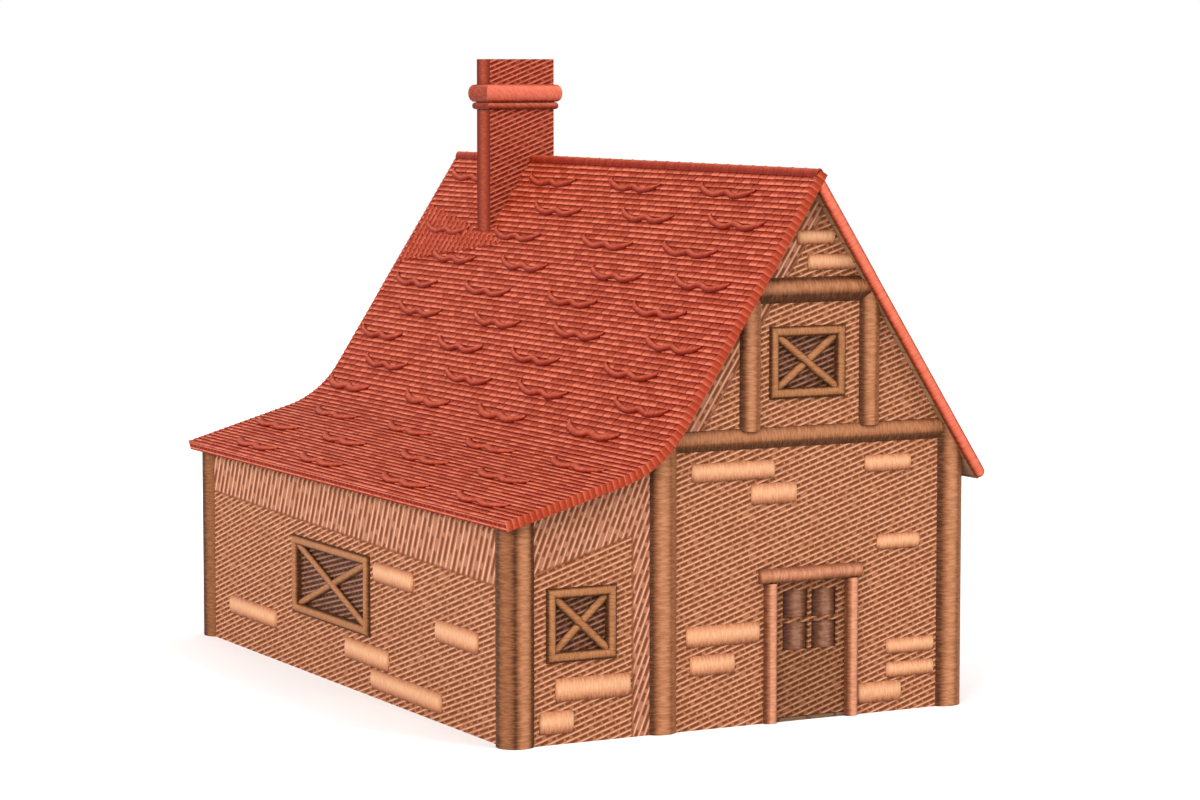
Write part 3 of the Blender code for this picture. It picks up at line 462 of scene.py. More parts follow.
def strokes(mat, flat, length, row):
    """Rows of ribs with a painted highlight, and staggered dashes of painted shade in the grooves between
    them, from 0 to 1.
    """
    along, over = flat
    lane = mat.math("DIVIDE", over, row)
    index = mat.math("FLOOR", lane)
    across = mat.math("FRACT", lane)
    run = mat.times(index, ROW_STAGGER, mat.math("DIVIDE", along, length))
    spot = mat.node("CombineXYZ", {0: run, 1: mat.times(index, ROW_SPREAD)})
    uneven = mat.noise(spot.outputs[0], 1.0, 1.0)
    kept = mat.times(mat.step(uneven, *RIB_HIGHLIGHT_BREAKS), 1 - RIB_HIGHLIGHT_LEAST, RIB_HIGHLIGHT_LEAST)
    rib = mat.times(mat.hump(across, *RIB_PLACE), kept)
    wave = mat.math("PINGPONG", mat.times(uneven, DASH_UNEVEN, run), 0.5)
    dash = mat.step(wave, *DASH_ENDS)
    gap = mat.times(mat.hump(across, *GAP_PLACE), dash)
    body = mat.times(rib, RIB_HIGHLIGHT, COMB_LIGHT)
    return mat.times(gap, -GAP_SHADE, body)


def combed(mat, flat, length=COMB_LENGTH, row=COMB_ROW):
    """How light a combed surface is, from 0 to 1, with the painted highlight and shade of its strokes."""
    body = strokes(mat, flat, length, row)
    fine = mat.math("SUBTRACT", mat.noise(mat.place(), *COMB_NOISE), 0.5)
    return mat.times(fine, COMB_NOISE_SHARE, body, clamp=True)


def plaster(name, across, zone=None, band_tilt=0.0, strip=None, long=1.0):
    """Combed render. Past a level in a direction, which zone gives, the strokes run steeply in a pinker
    palette: a painted shadow band, with a darker line painted along its edge.
    """
    mat = Material(name, Roughness=COMB_ROUGHNESS)
    body = combed(mat, mat.flat(across, UP, COMB_TILT), COMB_LENGTH * long)
    colour = mat.tones(body, PLASTER)
    if zone is not None:
        level, direction = zone
        where = mat.place()
        rise = mat.math("SUBTRACT", mat.dot(where, direction), level)
        if strip is not None:
            beside = mat.math("SUBTRACT", mat.dot(where, ACROSS), strip)
            rise = mat.math("MAXIMUM", rise, beside)
        inside = mat.math("GREATER_THAN", rise, 0.0)
        steep = combed(mat, mat.flat(across, UP, band_tilt), *[size * long for size in BAND_COMB])
        border = mat.step(mat.math("ABSOLUTE", rise), *BAND_EDGE)
        border = mat.times(border, 1 - BAND_EDGE_LIGHT, BAND_EDGE_LIGHT)
        body = mat.times(mat.blend(inside, body, steep), border)
        colour = mat.mix(inside, mat.tones(body, PLASTER), mat.tones(body, SHADOW_BAND))
    return mat.finish(colour, body, 0.02)


def grain(mat, along, pitch, length=GRAIN_LENGTH):
    """Short fine marks that lie across one direction."""
    where = mat.place()
    far = mat.times(mat.dot(where, along), 1 / pitch - 1 / length)
    inputs = {0: where, "Scale": 1 / length}
    spread = mat.node("VectorMath", inputs, operation="SCALE")
    inputs = {0: along, 1: far, 2: spread.outputs[0]}
    joined = mat.node("VectorMath", inputs, operation="MULTIPLY_ADD")
    return mat.step(mat.noise(joined.outputs[0], 1.0), *NOISE_ENDS)


def barred(mat, palette, along, facing, pitch=GRAIN_PITCH):
    """Finishes a bar with fine marks across it. facing is the painted light and shade on its points."""
    marks = grain(mat, along, pitch)
    fine = mat.times(marks, GRAIN_SHARE, -GRAIN_DARK)
    tone = mat.times(facing, FACING_SHARE, fine, clamp=True)
    return mat.finish(mat.tones(tone, palette), marks, GRAIN_DEPTH)


def satin(name, palette, along, *lights, pitch=GRAIN_PITCH):
    """A round bar with painted shading: as light as the strongest of its painted lights, or as the
    painted shade on its points.
    """
    mat = Material(name, Roughness=BAR_ROUGHNESS)
    facing = 0.0 if lights else mat.painted("shade")
    for direction, low, high, strength in lights:
        turned = mat.step(mat.dot(mat.normal(), direction), low, high)
        facing = mat.math("MAXIMUM", facing, mat.times(turned, strength))
    return barred(mat, palette, along, facing, pitch)


def mirrored(light, x, y):
    """A painted light for the opposite side. x and y are 1, or -1 where its direction turns round."""
    direction, *rest = light
    return (x * direction[0], y * direction[1], direction[2]), *rest


def jamb_wood(node):
    """Upright wood with a painted highlight down the middle of one node's front."""
    low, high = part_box(node)
    mat = Material(node + "_wood", Roughness=BAR_ROUGHNESS)
    across = mat.dot(mat.place(), ACROSS)
    place, reach = [share * (high.x - low.x) for share in JAMB_LIGHT]
    return barred(mat, COPPER, UP, mat.hump(across, low.x + place, reach))


def combed_material(name, palette, flat_at, rough=0.8, depth=0.015):
    """A flat surface, combed on a slant."""
    mat = Material(name, Roughness=rough)
    body = combed(mat, mat.flat(*flat_at))
    return mat.finish(mat.tones(body, palette), body, depth)


def iron_material():
    mat = Material("iron", Roughness=0.5, Metallic=1.0)
    fine = mat.step(mat.noise(mat.place(), *IRON_NOISE), *NOISE_ENDS)
    return mat.finish(mat.tones(fine, IRON), fine, 0.001)


def tile_material():
    """Clay, with a tint for each tile and a shade that is painted on its points."""
    mat = Material("clay_tile", Roughness=0.6)
    fine = mat.math("SUBTRACT", mat.noise(mat.place(), *TILE_NOISE), 0.5)
    body = mat.times(mat.painted("shade"), mat.times(mat.painted("tint"), *TILE_LIGHT))
    body = mat.times(fine, TILE_NOISE_SHARE, body, clamp=True)
    return mat.finish(mat.tones(body, TILE), fine, 0.004)


def brick_material():
    """Strokes on a slant at front and rear, and a soft painted highlight down the middle of the sides,
    darker towards their edges.
    """
    mat = Material("chimney_brick", Roughness=0.75)
    front = combed(mat, mat.flat(ACROSS, UP, BRICK_TILT), *BRICK_COMB)
    middle = (STACK[0].y + STACK[1].y) / 2
    half = (STACK[1].y - STACK[0].y) / 2
    off = mat.math("ABSOLUTE", mat.math("SUBTRACT", mat.dot(mat.place(), BACK), middle))
    near, far = [share * half for share in BRICK_SIDE_HIGHLIGHT]
    side_highlight = mat.math("SUBTRACT", 1.0, mat.step(off, near, far))
    marks = grain(mat, UP, GRAIN_COARSE)
    side = mat.times(side_highlight, mat.times(marks, *BRICK_SIDE_LIGHT))
    turned = mat.math("ABSOLUTE", mat.dot(mat.normal(), ACROSS))
    body = mat.blend(mat.math("GREATER_THAN", turned, BRICK_SIDE), front, side)
    return mat.finish(mat.tones(body, BRICK), body, 0.015)


def board_material(name, width):
    """Boards from front to back, side by side, with a fine grain along them."""
    mat = Material(name, Roughness=0.7)
    where = mat.place()
    lane = mat.math("DIVIDE", mat.dot(where, ACROSS), width)
    tint = mat.node("TexWhiteNoise", {}, noise_dimensions="1D")
    mat.give(tint.inputs["W"], mat.math("FLOOR", lane))
    joint = mat.math("PINGPONG", lane, 0.5)
    body = mat.step(joint, *JOINT_EDGE)
    stretched = mat.node("CombineXYZ", {0: lane, 1: mat.dot(where, BACK)})
    fine = mat.times(mat.noise(stretched.outputs[0], *BOARD_NOISE), BOARD_NOISE_SHARE)
    tone = mat.times(tint.outputs["Value"], BOARD_TINT_SHARE, fine)
    tone = mat.times(tone, body, clamp=True)
    return mat.finish(mat.tones(tone, BOARDS), body, 0.006)


def flagstone_material():
    """Worn stones of uneven shape."""
    mat = Material("flagstones", Roughness=0.8)
    scale, randomness = STONE_CELLS
    inputs = {"Vector": mat.place(), "Scale": scale, "Randomness": randomness}
    cells = mat.node("TexVoronoi", inputs, feature="DISTANCE_TO_EDGE")
    stone = mat.step(cells.outputs["Distance"], *JOINT_EDGE)
    fine = mat.noise(mat.place(), *STONE_NOISE)
    body = mat.times(stone, mat.times(fine, *STONE_LIGHT), clamp=True)
    return mat.finish(mat.tones(body, STONE), stone, 0.01)


class RoofLine:
    """The top of one side of the roof, followed down from the ridge in metres."""

    def __init__(self, side):
        self.side = side
        self.straight = self.length = math.hypot(RIGHT_EAVE_X - RIDGE_X, RIDGE_Z - RIGHT_EAVE_Z)
        self.arc = 0.0
        if side < 0:
            turn = ROOF_ANGLE - LEAN_TO_ANGLE
            tail = math.hypot(KICK_X - LEFT_EAVE_X, KICK_Z - LEFT_EAVE_Z) - KICK_TANGENT
            self.radius = KICK_TANGENT / math.tan(turn / 2)
            self.straight = math.hypot(RIDGE_X - KICK_X, RIDGE_Z - KICK_Z) - KICK_TANGENT
            self.arc = self.radius * turn
            self.length = self.straight + self.arc + tail
        self.eave = self.length - EAVE_SET_BACK
        self.courses = int((self.eave - RIDGE_CLEARANCE) / TILE_GAUGE)

    def point(self, down, lift=0.0):
        """The X and Z of a point, and the slope's angle there."""
        angle = ROOF_ANGLE
        run = min(down, self.straight)
        x = run * math.cos(angle)
        z = -run * math.sin(angle)
        if down > self.straight and self.arc:
            angle -= min(down - self.straight, self.arc) / self.radius
            rest = max(down - self.straight - self.arc, 0.0)
            x += self.radius * (math.sin(ROOF_ANGLE) - math.sin(angle)) + rest * math.cos(angle)
            z -= self.radius * (math.cos(angle) - math.cos(ROOF_ANGLE)) + rest * math.sin(angle)
        x += lift * math.sin(angle)
        z += lift * math.cos(angle)
        return RIDGE_X + self.side * x, RIDGE_Z + z, angle

    def spot(self, down, y, lift=0.0):
        x, z = self.point(down, lift)[:2]
        return Vector((x, y, z))

    def out(self, down):
        """The direction that points away from the roof's top."""
        angle = self.point(down)[2]
        return Vector((self.side * math.sin(angle), 0.0, math.cos(angle)))


RIGHT_LINE = RoofLine(1)
LEFT_LINE = RoofLine(-1)


def placed(name, data):
    """A new object in the scene."""
    obj = bpy.data.objects.new(name, data)
    bpy.context.scene.collection.objects.link(obj)
    return obj


class Shape:
    """Points and faces of one piece. Each point has a tint and a painted shade for its material."""

    def __init__(self):
        self.points, self.tints, self.shades = [], [], []
        self.faces, self.parts = [], []

    def add(self, points, faces, tint=0.5, shades=None, part=0):
        start = len(self.points)
        self.points += [tuple(point) for point in points]
        self.faces += [[start + i for i in face] for face in faces]
        self.tints += [tint] * len(points)
        self.shades += shades or [1.0] * len(points)
        self.parts += [part] * len(faces)

    def loft(self, loops, tint=0.5, shades=None, part=0, ends=True):
        """Joins loops of equal length in turn, and closes the first and the last."""
        size = len(loops[0])
        faces = []
        for k in range(len(loops) - 1):
            for i in range(size):
                j = (i + 1) % size
                faces.append((k * size + i, k * size + j, (k + 1) * size + j, (k + 1) * size + i))
        if ends:
            faces.append(tuple(range(size)))
            faces.append(tuple((len(loops) - 1) * size + i for i in range(size)))
        self.add([point for loop in loops for point in loop], faces, tint, shades, part)

    def make(self, name, materials, smooth_angle=None, weld=False, body=HOUSE):
        mesh = bpy.data.meshes.new(name)
        mesh.from_pydata(self.points, [], self.faces)
        for key, values in (("tint", self.tints), ("shade", self.shades)):
            mesh.attributes.new(key, "FLOAT", "POINT").data.foreach_set("value", values)
        for material in materials:
            mesh.materials.append(material)
        mesh.polygons.foreach_set("material_index", self.parts)
        tidy = bmesh.new()
        tidy.from_mesh(mesh)
        if weld:
            bmesh.ops.remove_doubles(tidy, verts=tidy.verts, dist=WELD)
        bmesh.ops.recalc_face_normals(tidy, faces=tidy.faces)
        tidy.to_mesh(mesh)
        tidy.free()
        if smooth_angle is not None:
            mesh.shade_smooth()
            mesh.set_sharp_from_angle(angle=math.radians(smooth_angle))
        obj = placed(name, mesh)
        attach(obj, body)
        return obj


def sweep(shape, path, radii, out, sides, squash=1.0):
    """A round bar along a path, with a radius at each point. out is the way up of its section."""
    loops = []
    last = len(path) - 1
    for i, (centre, radius) in enumerate(zip(path, radii)):
        along = (path[min(i + 1, last)] - path[max(i - 1, 0)]).normalized()
        across = along.cross(out).normalized()
        up = across.cross(along).normalized()
        loop = []
        for k in range(sides):
            angle = 2 * math.pi * (k + 0.5) / sides
            side = across * radius * math.cos(angle)
            loop.append(centre + side + up * radius * squash * math.sin(angle))
        loops.append(loop)
    shape.loft(loops)


def rounded_bar(shape, start, end, radius, out, sides, squash=1.0, steps=4):
    """A straight bar with round ends that reach start and end."""
    along = (end - start).normalized()
    turns = [math.pi / 2 * i / steps for i in range(1, steps + 1)]
    path = [start + along * radius * (1 - math.cos(turn)) for turn in turns]
    path += [end - along * radius * (1 - math.cos(turn)) for turn in reversed(turns)]
    radii = [radius * math.sin(turn) for turn in turns]
    sweep(shape, path, radii + radii[::-1], out, sides, squash)


def arc(steps):
    """The angles of a half turn in equal steps."""
    return [math.pi * i / steps for i in range(steps + 1)]


def both_ends(ends, length):
    """Places along a piece and its size there, from those at one of its like ends."""
    return ends + [(length - inset, size) for inset, size in ends[::-1]]


def lifted(least, share):
    """From least to 1, as a share goes from 0 to 1."""
    return least + (1 - least) * share


def make_deck(name, line, start, end, materials, inset):
    """The boarded deck under the tiles, in place of one solid of the roof."""
    steps = [start]
    if line.arc and end > line.straight:
        steps += [line.straight + line.arc * i / ARC_STEPS for i in range(1, ARC_STEPS + 1)]
    steps.append(end)
    top = [line.point(down, TILE_BED)[:2] for down in steps]
    under = [line.point(down, -ROOF_THICKNESS)[:2] for down in steps]
    if start == 0.0:
        top[0] = (RIDGE_X, RIDGE_Z + TILE_BED / math.cos(ROOF_ANGLE))
        under[0] = (RIDGE_X, RIDGE_Z - ROOF_THICKNESS / math.cos(ROOF_ANGLE))

    def block(*corners):
        return [(x, y, z) for y in (VERGE_FRONT + inset, VERGE_REAR - inset) for x, z in corners]

    shape = Shape()
    for i in range(len(steps) - 1):
        points = block(top[i], top[i + 1], under[i + 1], under[i])
        shape.add(points, [(0, 1, 5, 4), (0, 1, 2, 3), (4, 5, 6, 7)])
        shape.add(points, [(2, 3, 7, 6)], part=1)
    shape.add(block(top[0], under[0], under[-1], top[-1]), [(0, 1, 5, 4), (2, 3, 7, 6)])
    return shape.make(name, materials, weld=True)


def in_stack(x, near, far):
    low, high = STACK
    return low.x < x < high.x and low.y < near and far < high.y


def make_tiles(name, line, inset, material, rng):
    """Courses of tiles from the eave up, each tile a thin wedge with a blunt nose."""
    shape = Shape()
    front = VERGE_FRONT + inset
    rear = VERGE_REAR - inset
    for course in range(line.courses):
        start = front - TILE_WIDTH * (0.5 * (course % 2) + rng.uniform(0.0, COURSE_SLIP))
        count = int((rear - start) / TILE_WIDTH) + 1
        for i in range(count):
            near = max(start + i * TILE_WIDTH + TILE_GAP / 2, front)
            far = min(start + (i + 1) * TILE_WIDTH - TILE_GAP / 2, rear)
            low = line.eave - course * TILE_GAUGE + rng.uniform(-TILE_SLIP, TILE_SLIP) * (course > 0)
            lift = rng.uniform(-TILE_SETTLING, 0.0)
            tint = rng.random()
            if far - near > TILE_LEAST and not in_stack(line.point(low)[0], near, far):
                add_tile(shape, line, low, lift, near, far, tint)
    shape.make(name, [material])


def add_tile(shape, line, low, lift, near, far, tint):
    top = max(low - TILE_GAUGE - TILE_LAP, 0.0)
    lit = low - TILE_GAUGE * (1 - TILE_SHADED)
    share = (lit - top) / (low - top)
    bed = TILE_BED + TILE_THIN
    profile = [
        (top, TILE_BED),
        (top, bed),
        (lit, bed + (lift - bed) * share),
        (low - TILE_NOSE, lift),
        (low, lift - TILE_NOSE / 2),
        (low - TILE_UNDERCUT, lift - TILE_DEPTH),
    ]
    loops = [[line.spot(down, y, up) for down, up in profile] for y in (near, far)]
    shape.loft(loops, tint, TILE_SHADES * 2)


def make_verge_plates(name, y, inward, material, rng):
    """Small clay plates on the left slope's edge, one for each course, with painted shade that is darker
    at their upper ends.
    """
    shape = Shape()
    for course in range(LEFT_LINE.courses + 1):
        low = LEFT_LINE.eave - course * TILE_GAUGE
        high = max(low - TILE_GAUGE, 0.0)
        corners = list(zip((high, low, low, high), PLATE_LIFTS))
        loops = []
        for place in (y + inward * VERGE_GAP, y + inward * VERGE_PLATE):
            loops.append([LEFT_LINE.spot(down, place, lift) for down, lift in corners])
        shape.loft(loops, rng.uniform(*PLATE_TINTS), PLATE_SHADES * 2)
    shape.make(name, [material])


def make_verge_roll(name, y, material):
    """The round clay edge of the right slope."""
    shape = Shape()
    lift = ROLL_PROUD - ROLL_RADIUS
    start = RIGHT_LINE.spot(ROLL_ENDS[0], y, lift)
    end = RIGHT_LINE.spot(RIGHT_LINE.length - ROLL_ENDS[1], y, lift)
    rounded_bar(shape, start, end, ROLL_RADIUS, RIGHT_LINE.out(1.0), ROLL_SIDES)
    shape.make(name, [material], 40)


def mark_path(line, down, y):
    """The middle of one ridge, from its rear end."""
    points = []
    for i in range(MARK_STEPS + 1):
        share = MARK_END * (i / MARK_STEPS) ** MARK_CROWDING
        lobes = MARK_DEPTH * math.sqrt(math.sin(math.pi * share))
        cusp = MARK_CUSP * math.exp(-(((share - MARK_CUSP_PLACE) / MARK_CUSP_WIDTH) ** 2))
        points.append(line.spot(down + lobes - cusp, y + MARK_LENGTH * (0.5 - share), MARK_LIFT))
    return points


def mark_places(line):
    """Where the ridges of one slope start, down the slope, and their middles in Y."""
    rearmost = VERGE_REAR - MARK_MARGIN - MARK_LENGTH / 2
    half = MARK_LENGTH / 2 + MARK_MARGIN
    places = []
    row = 0
    down = MARK_TOP_ROW
    while down + MARK_DEPTH + MARK_MARGIN < line.length:
        beside_stack = STACK[0].x < line.point(down)[0] < STACK[1].x
        for column in range(MARK_COLUMNS):
            y = VERGE_FRONT + MARK_FIRST[row % 2] + column * MARK_COLUMN
            y = min(y + MARK_SHIFT * math.sin(7 * row + 3 * column), rearmost)
            if not (beside_stack and y + half > STACK[0].y and y - half < STACK[1].y):
                places.append((down, y))
        down += MARK_ROW if not line.arc or down < line.straight else MARK_LOW_ROW
        row += 1
    return places


def make_marks(name, line, material, *nodes):
    """The scalloped ridges that stand on the tiles of one side."""
    shape = Shape()
    shares = [min(i, MARK_STEPS - i) / MARK_STEPS for i in range(MARK_STEPS + 1)]
    radii = [MARK_RADIUS * min(1.0, MARK_TIP + MARK_TAPER * share) for share in shares]
    for down, y in mark_places(line):
        wide = MARK_LOW_WIDTH if line.arc and down > line.straight else 1.0
        path = mark_path(line, down, y)
        wider = [wide * radius for radius in radii]
        sweep(shape, path, wider, line.out(down), MARK_SIDES, MARK_SQUASH / wide)
    obj = shape.make(name, [material], 60)
    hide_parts(*nodes)


def make_long_tiles(material):
    """A wedge of long round tiles on the left slope, from the stack to the rear verge."""
    low, high = STACK
    foot = (RIDGE_X - low.x) / math.cos(ROOF_ANGLE) + WEDGE_GAPS[0]
    start = low.y - WEDGE_REACH
    reach = VERGE_REAR - WEDGE_RADIUS - WEDGE_GAPS[1] - start
    lift = WEDGE_PROUD - WEDGE_RADIUS * WEDGE_SQUASH
    shape = Shape()
    for i in range(int(reach / WEDGE_PITCH) + 1):
        y = start + i * WEDGE_PITCH
        share = (y - start) / reach
        top, bottom = [a + (b - a) * share for a, b in zip(WEDGE_NARROW, WEDGE_WIDE)]
        if low.y - WEDGE_RADIUS < y < high.y + WEDGE_RADIUS:
            top = max(top, foot)
        if bottom - top >= 2 * WEDGE_RADIUS:
            ends = [LEFT_LINE.spot(down, y, lift) for down in (top, bottom)]
            rounded_bar(shape, *ends, WEDGE_RADIUS, LEFT_LINE.out(1.0), MARK_SIDES, WEDGE_SQUASH)
    shape.make("long_tiles", [material], 40)


def make_ridge(material):
    """Low rounded tiles along the ridge, with a bead where one laps the next."""
    shape = Shape()
    count = round((VERGE_REAR - VERGE_FRONT) / RIDGE_LENGTH)
    length = (VERGE_REAR - VERGE_FRONT) / count
    for i in range(count):
        near = VERGE_FRONT + i * length + RIDGE_GAP
        far = min(near + length + RIDGE_LAP, VERGE_REAR - RIDGE_GAP)
        loops = []
        for y, swell in [(near + along, swell) for along, swell in RIDGE_BEAD] + [(far, 0.0)]:
            loop = []
            for angle in arc(ROUND_STEPS):
                rise = (RIDGE_SINK + RIDGE_PROUD + swell) * math.sin(angle)
                reach = (RIDGE_RADIUS + swell) * math.cos(angle)
                loop.append((RIDGE_X + reach, y, RIDGE_Z - RIDGE_SINK + rise))
            loops.append(loop)
        shape.loft(loops)
    shape.make("ridge_tiles", [material], 50)


def on_wall(side, along, out, z):
    """A point beside a wall: along it, out from its face, and up."""
    face = WALL_PLANES[side] + (out if side in ("rear", "right") else -out)
    return Vector((along, face, z) if side in ("front", "rear") else (face, along, z))


def round_shades(steps, peak=0.6, foot=0.0, top=0.25, sharpness=1.5):
    """The painted shade on the points of a rounded nose, from foot to top: a painted highlight at the
    peak, darker towards foot and top.
    """
    shades = []
    for angle in arc(steps):
        place = 0.5 - 0.5 * math.cos(angle)
        edge = foot if place < peak else top
        away = abs(place - peak) / (peak if place < peak else 1 - peak)
        shades.append(lifted(edge, max(0.0, math.cos(math.pi / 2 * away)) ** sharpness))
    return shades


def make_block(shape, side, start, end, low, high):
    """One smooth block with round edges, let into a wall, with painted shade across its nose that darkens
    towards its ends.
    """
    middle = (low + high) / 2
    half = (high - low) / 2
    loops = []
    shades = []
    for inset, size in both_ends(BLOCK_ENDS, end - start):
        along = start + inset
        tall = half * lifted(BLOCK_TALL, size)
        loop = [on_wall(side, along, -BLOCK_SINK, middle - tall)]
        for angle in arc(ROUND_STEPS):
            out = BLOCK_PROUD * size * math.sin(angle) ** BLOCK_FULLNESS
            loop.append(on_wall(side, along, out, middle - tall * math.cos(angle)))
        loop.append(on_wall(side, along, -BLOCK_SINK, middle + tall))
        loops.append(loop)
        light = lifted(BLOCK_LIGHT, size)
        shades += [0.0] + [shade * light for shade in round_shades(ROUND_STEPS)] + [SHADE_IN_WALL]
    shape.loft(loops, shades=shades)


def make_window(window, side, lying, standing):
    """A rounded frame in place of the plain one, and its two crossed bars."""
    low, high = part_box(window + "_frame")
    axis = 0 if side in ("front", "rear") else 1
    start, end = low[axis], high[axis]
    upright = (FRAME_BAR_SIDE if axis else FRAME_BAR) / FRAME_BAR
    profile = [(0.0, -FRAME_BACK), (0.0, FRAME_FOOT)]
    for angle in arc(NOSE_STEPS)[1:-1]:
        profile.append((FRAME_BAR / 2 * (1 - math.cos(angle)), FRAME_PROUD * math.sin(angle)))
    profile += [(FRAME_BAR, FRAME_FOOT), (FRAME_BAR, -FRAME_BACK)]
    loops = []
    for corner in range(5):
        right = corner % 4 in (1, 2)
        top = corner % 4 in (2, 3)
        loop = []
        for inset, out in profile:
            along = end - inset * upright if right else start + inset * upright
            z = high.z - inset if top else low.z + inset
            loop.append(on_wall(side, along, out, z))
        loops.append(loop)
    shape = Shape()
    for corner in range(4):
        shape.loft(loops[corner : corner + 2], part=corner % 2, ends=False)
    moulding = shape.make(window + "_moulding", [lying, standing], 35, True)
    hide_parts(window + "_frame")
    inset = (FRAME_BAR - BAR_OVERLAP) * upright
    make_cross(window + "_cross", side, start + inset, end - inset, low.z, high.z, standing)


def make_cross(name, side, start, end, low, high, material):
    """Two bars from corner to corner in front of the glass, one laid over the other."""
    foot = low + FRAME_BAR - BAR_OVERLAP
    head = high - FRAME_BAR + BAR_OVERLAP
    swapped = side in ("rear", "left")
    shape = Shape()
    out = on_wall(side, 0.0, 1.0, 0.0) - on_wall(side, 0.0, 0.0, 0.0)
    for depth, rising in zip(BAR_PLACES, (True, False)):
        flip = rising != swapped
        a = on_wall(side, start, depth, foot if flip else head)
        b = on_wall(side, end, depth, head if flip else foot)
        sweep(shape, [a, a.lerp(b, 0.5), b], [BAR_RADIUS] * 3, out, BAR_SIDES, BAR_DEPTH / BAR_RADIUS)
    shape.make(name, [material], 40)


def make_door_panes(material):
    """Four curved panes in the door's openings, before the sheet of glass, with painted shade across
    each: dark at the left and a painted highlight right of the middle.
    """
    low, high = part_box("door_glass")

    def halves(start, end, bar):
        middle = (start + end) / 2
        return (start, middle - bar / 2), (middle + bar / 2, end)

    shape = Shape()
    for x0, x1 in halves(low.x + PANE_EDGE, high.x - PANE_EDGE, DOOR_MULLION):
        for z0, z1 in halves(low.z + PANE_EDGE, high.z - PANE_EDGE, DOOR_TRANSOM):
            loops = []
            for z in (z0, z1):
                loop = []
                for angle in arc(NOSE_STEPS):
                    x = (x0 + x1) / 2 - (x1 - x0) / 2 * math.cos(angle)
                    loop.append((x, low.y - PANE_CLEARANCE - PANE_BULGE * math.sin(angle), z))
                loops.append(loop)
            shape.loft(loops, shades=round_shades(NOSE_STEPS, *PANE_SHADES) * 2)
    shape.make("door_panes", [material], 60, body=DOOR)


def make_lintel(material):
    """The round bar over the door, in place of the plain one and with its rebate. Its points carry
    painted shade, darker towards its edges and ends.
    """
    low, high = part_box("door_lintel")
    face = low.y + LINTEL_PROUD
    middle = (low.z + high.z) / 2
    rebate = low.z + LINTEL_REBATE
    loops = []
    shades = []
    for inset, size in both_ends(LINTEL_ENDS, high.x - low.x):
        x = low.x + inset
        tall = (high.z - low.z) / 2 * lifted(LINTEL_TALL, size)
        loop = []
        for angle in arc(ROUND_STEPS):
            out = LINTEL_PROUD * size * math.sin(angle) ** LINTEL_FULLNESS
            loop.append((x, face - out, middle - tall * math.cos(angle)))
        loops.append(loop + [(x, high.y, middle + tall), (x, high.y, rebate), (x, face, rebate)])
        shades += [LINTEL_LIGHT * shade * size for shade in round_shades(ROUND_STEPS)]
        shades += [SHADE_IN_WALL] * 3
    shape = Shape()
    shape.loft(loops, shades=shades)
    bar = shape.make("lintel_bar", [material], 50)
    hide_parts("door_lintel")


def make_chimney_head(brick, band, dull):
    """The head, with a round band and a thin roll under it, in place of the plain one."""
    low, high = STACK
    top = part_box("chimney_head")[1].z
    shape = Shape()

    def loop(proud, z):
        left, right = low.x - proud, high.x + proud
        front, rear = low.y - proud, high.y + proud
        return [(left, front, z), (right, front, z), (right, rear, z), (left, rear, z)]

    def roll(foot, head, proud):
        loops = []
        for angle in arc(NOSE_STEPS):
            z = (foot + head) / 2 - (head - foot) / 2 * math.cos(angle)
            loops.append(loop(proud * math.sin(angle) ** BAND_FULLNESS, z))
        return loops

    lower = roll(CORBEL_Z, BAND_Z, CORBEL_PROUD)
    shape.loft(lower, ends=False, part=2)
    shape.loft(roll(BAND_Z, BAND_TOP, BAND_PROUD), ends=False, part=1)
    mouth = [loop(0.0, BAND_TOP), loop(0.0, top), loop(-FLUE_WALL, top), loop(-FLUE_WALL, FLUE_FLOOR)]
    shape.loft(mouth, ends=False)
    shape.add(mouth[-1], [(0, 1, 2, 3)])
    shape.add(lower[0], [(0, 1, 2, 3)])
    head = shape.make("chimney_top", [brick, band, dull], 50, True)
    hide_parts("chimney_head")


def paint(material, *names):
    for name in names:
        NODES[name].data.materials.clear()
        NODES[name].data.materials.append(material)


def smooth(*names):
    """Rounds the shading of nodes: their faces are joined, and split at sharp edges."""
    for name in names:
        NODES[name].data.shade_smooth()
        NODES[name].modifiers.new("join", "WELD").merge_threshold = NODE_WELD
        split = NODES[name].modifiers.new("split", "EDGE_SPLIT")
        split.split_angle = math.radians(NODE_SPLIT)


def paint_walls():
    slope = math.tan(ROOF_ANGLE)
    rake = RIDGE_Z - (ROOF_THICKNESS + RAKE_BAND) / math.cos(ROOF_ANGLE) - RIDGE_X * slope
    rake_zone = (rake, (-slope, 0.0, 1.0))
    low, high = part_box("lean_to_front_wall")
    lean_zone = (LEAN_TO_BAND - LEAN_TO_SLOPE * low.x, (-LEAN_TO_SLOPE, 0.0, 1.0))
    strip = high.x - LEAN_TO_STRIP
    paint(plaster("render_front", ACROSS), "front_wall_left", "front_wall_right", "front_wall_over_door")
    paint(plaster("render_rear", TO_LEFT), "rear_wall")
    for end, across, tilt in (("front", ACROSS, RAKE_TILT), ("rear", TO_LEFT, -RAKE_TILT)):
        paint(plaster(f"render_gable_{end}", across, rake_zone, tilt), f"gable_wall_{end}")
        lean_to = plaster(f"render_lean_to_{end}", across, lean_zone, LEAN_TO_TILT, strip)
        paint(lean_to, f"lean_to_{end}_wall")
    # The eaves plates take the wall's render, inside its painted shadow band
    side = plaster("render_side", TO_FRONT, LEFT_BAND, SIDE_TILT, long=SIDE_STRETCH)
    paint(side, "lean_to_side_wall", "eaves_plate_left")
    right = plaster("render_right", BACK, RIGHT_BAND, SIDE_TILT, long=SIDE_STRETCH)
    paint(right, "right_wall", "eaves_plate_right")


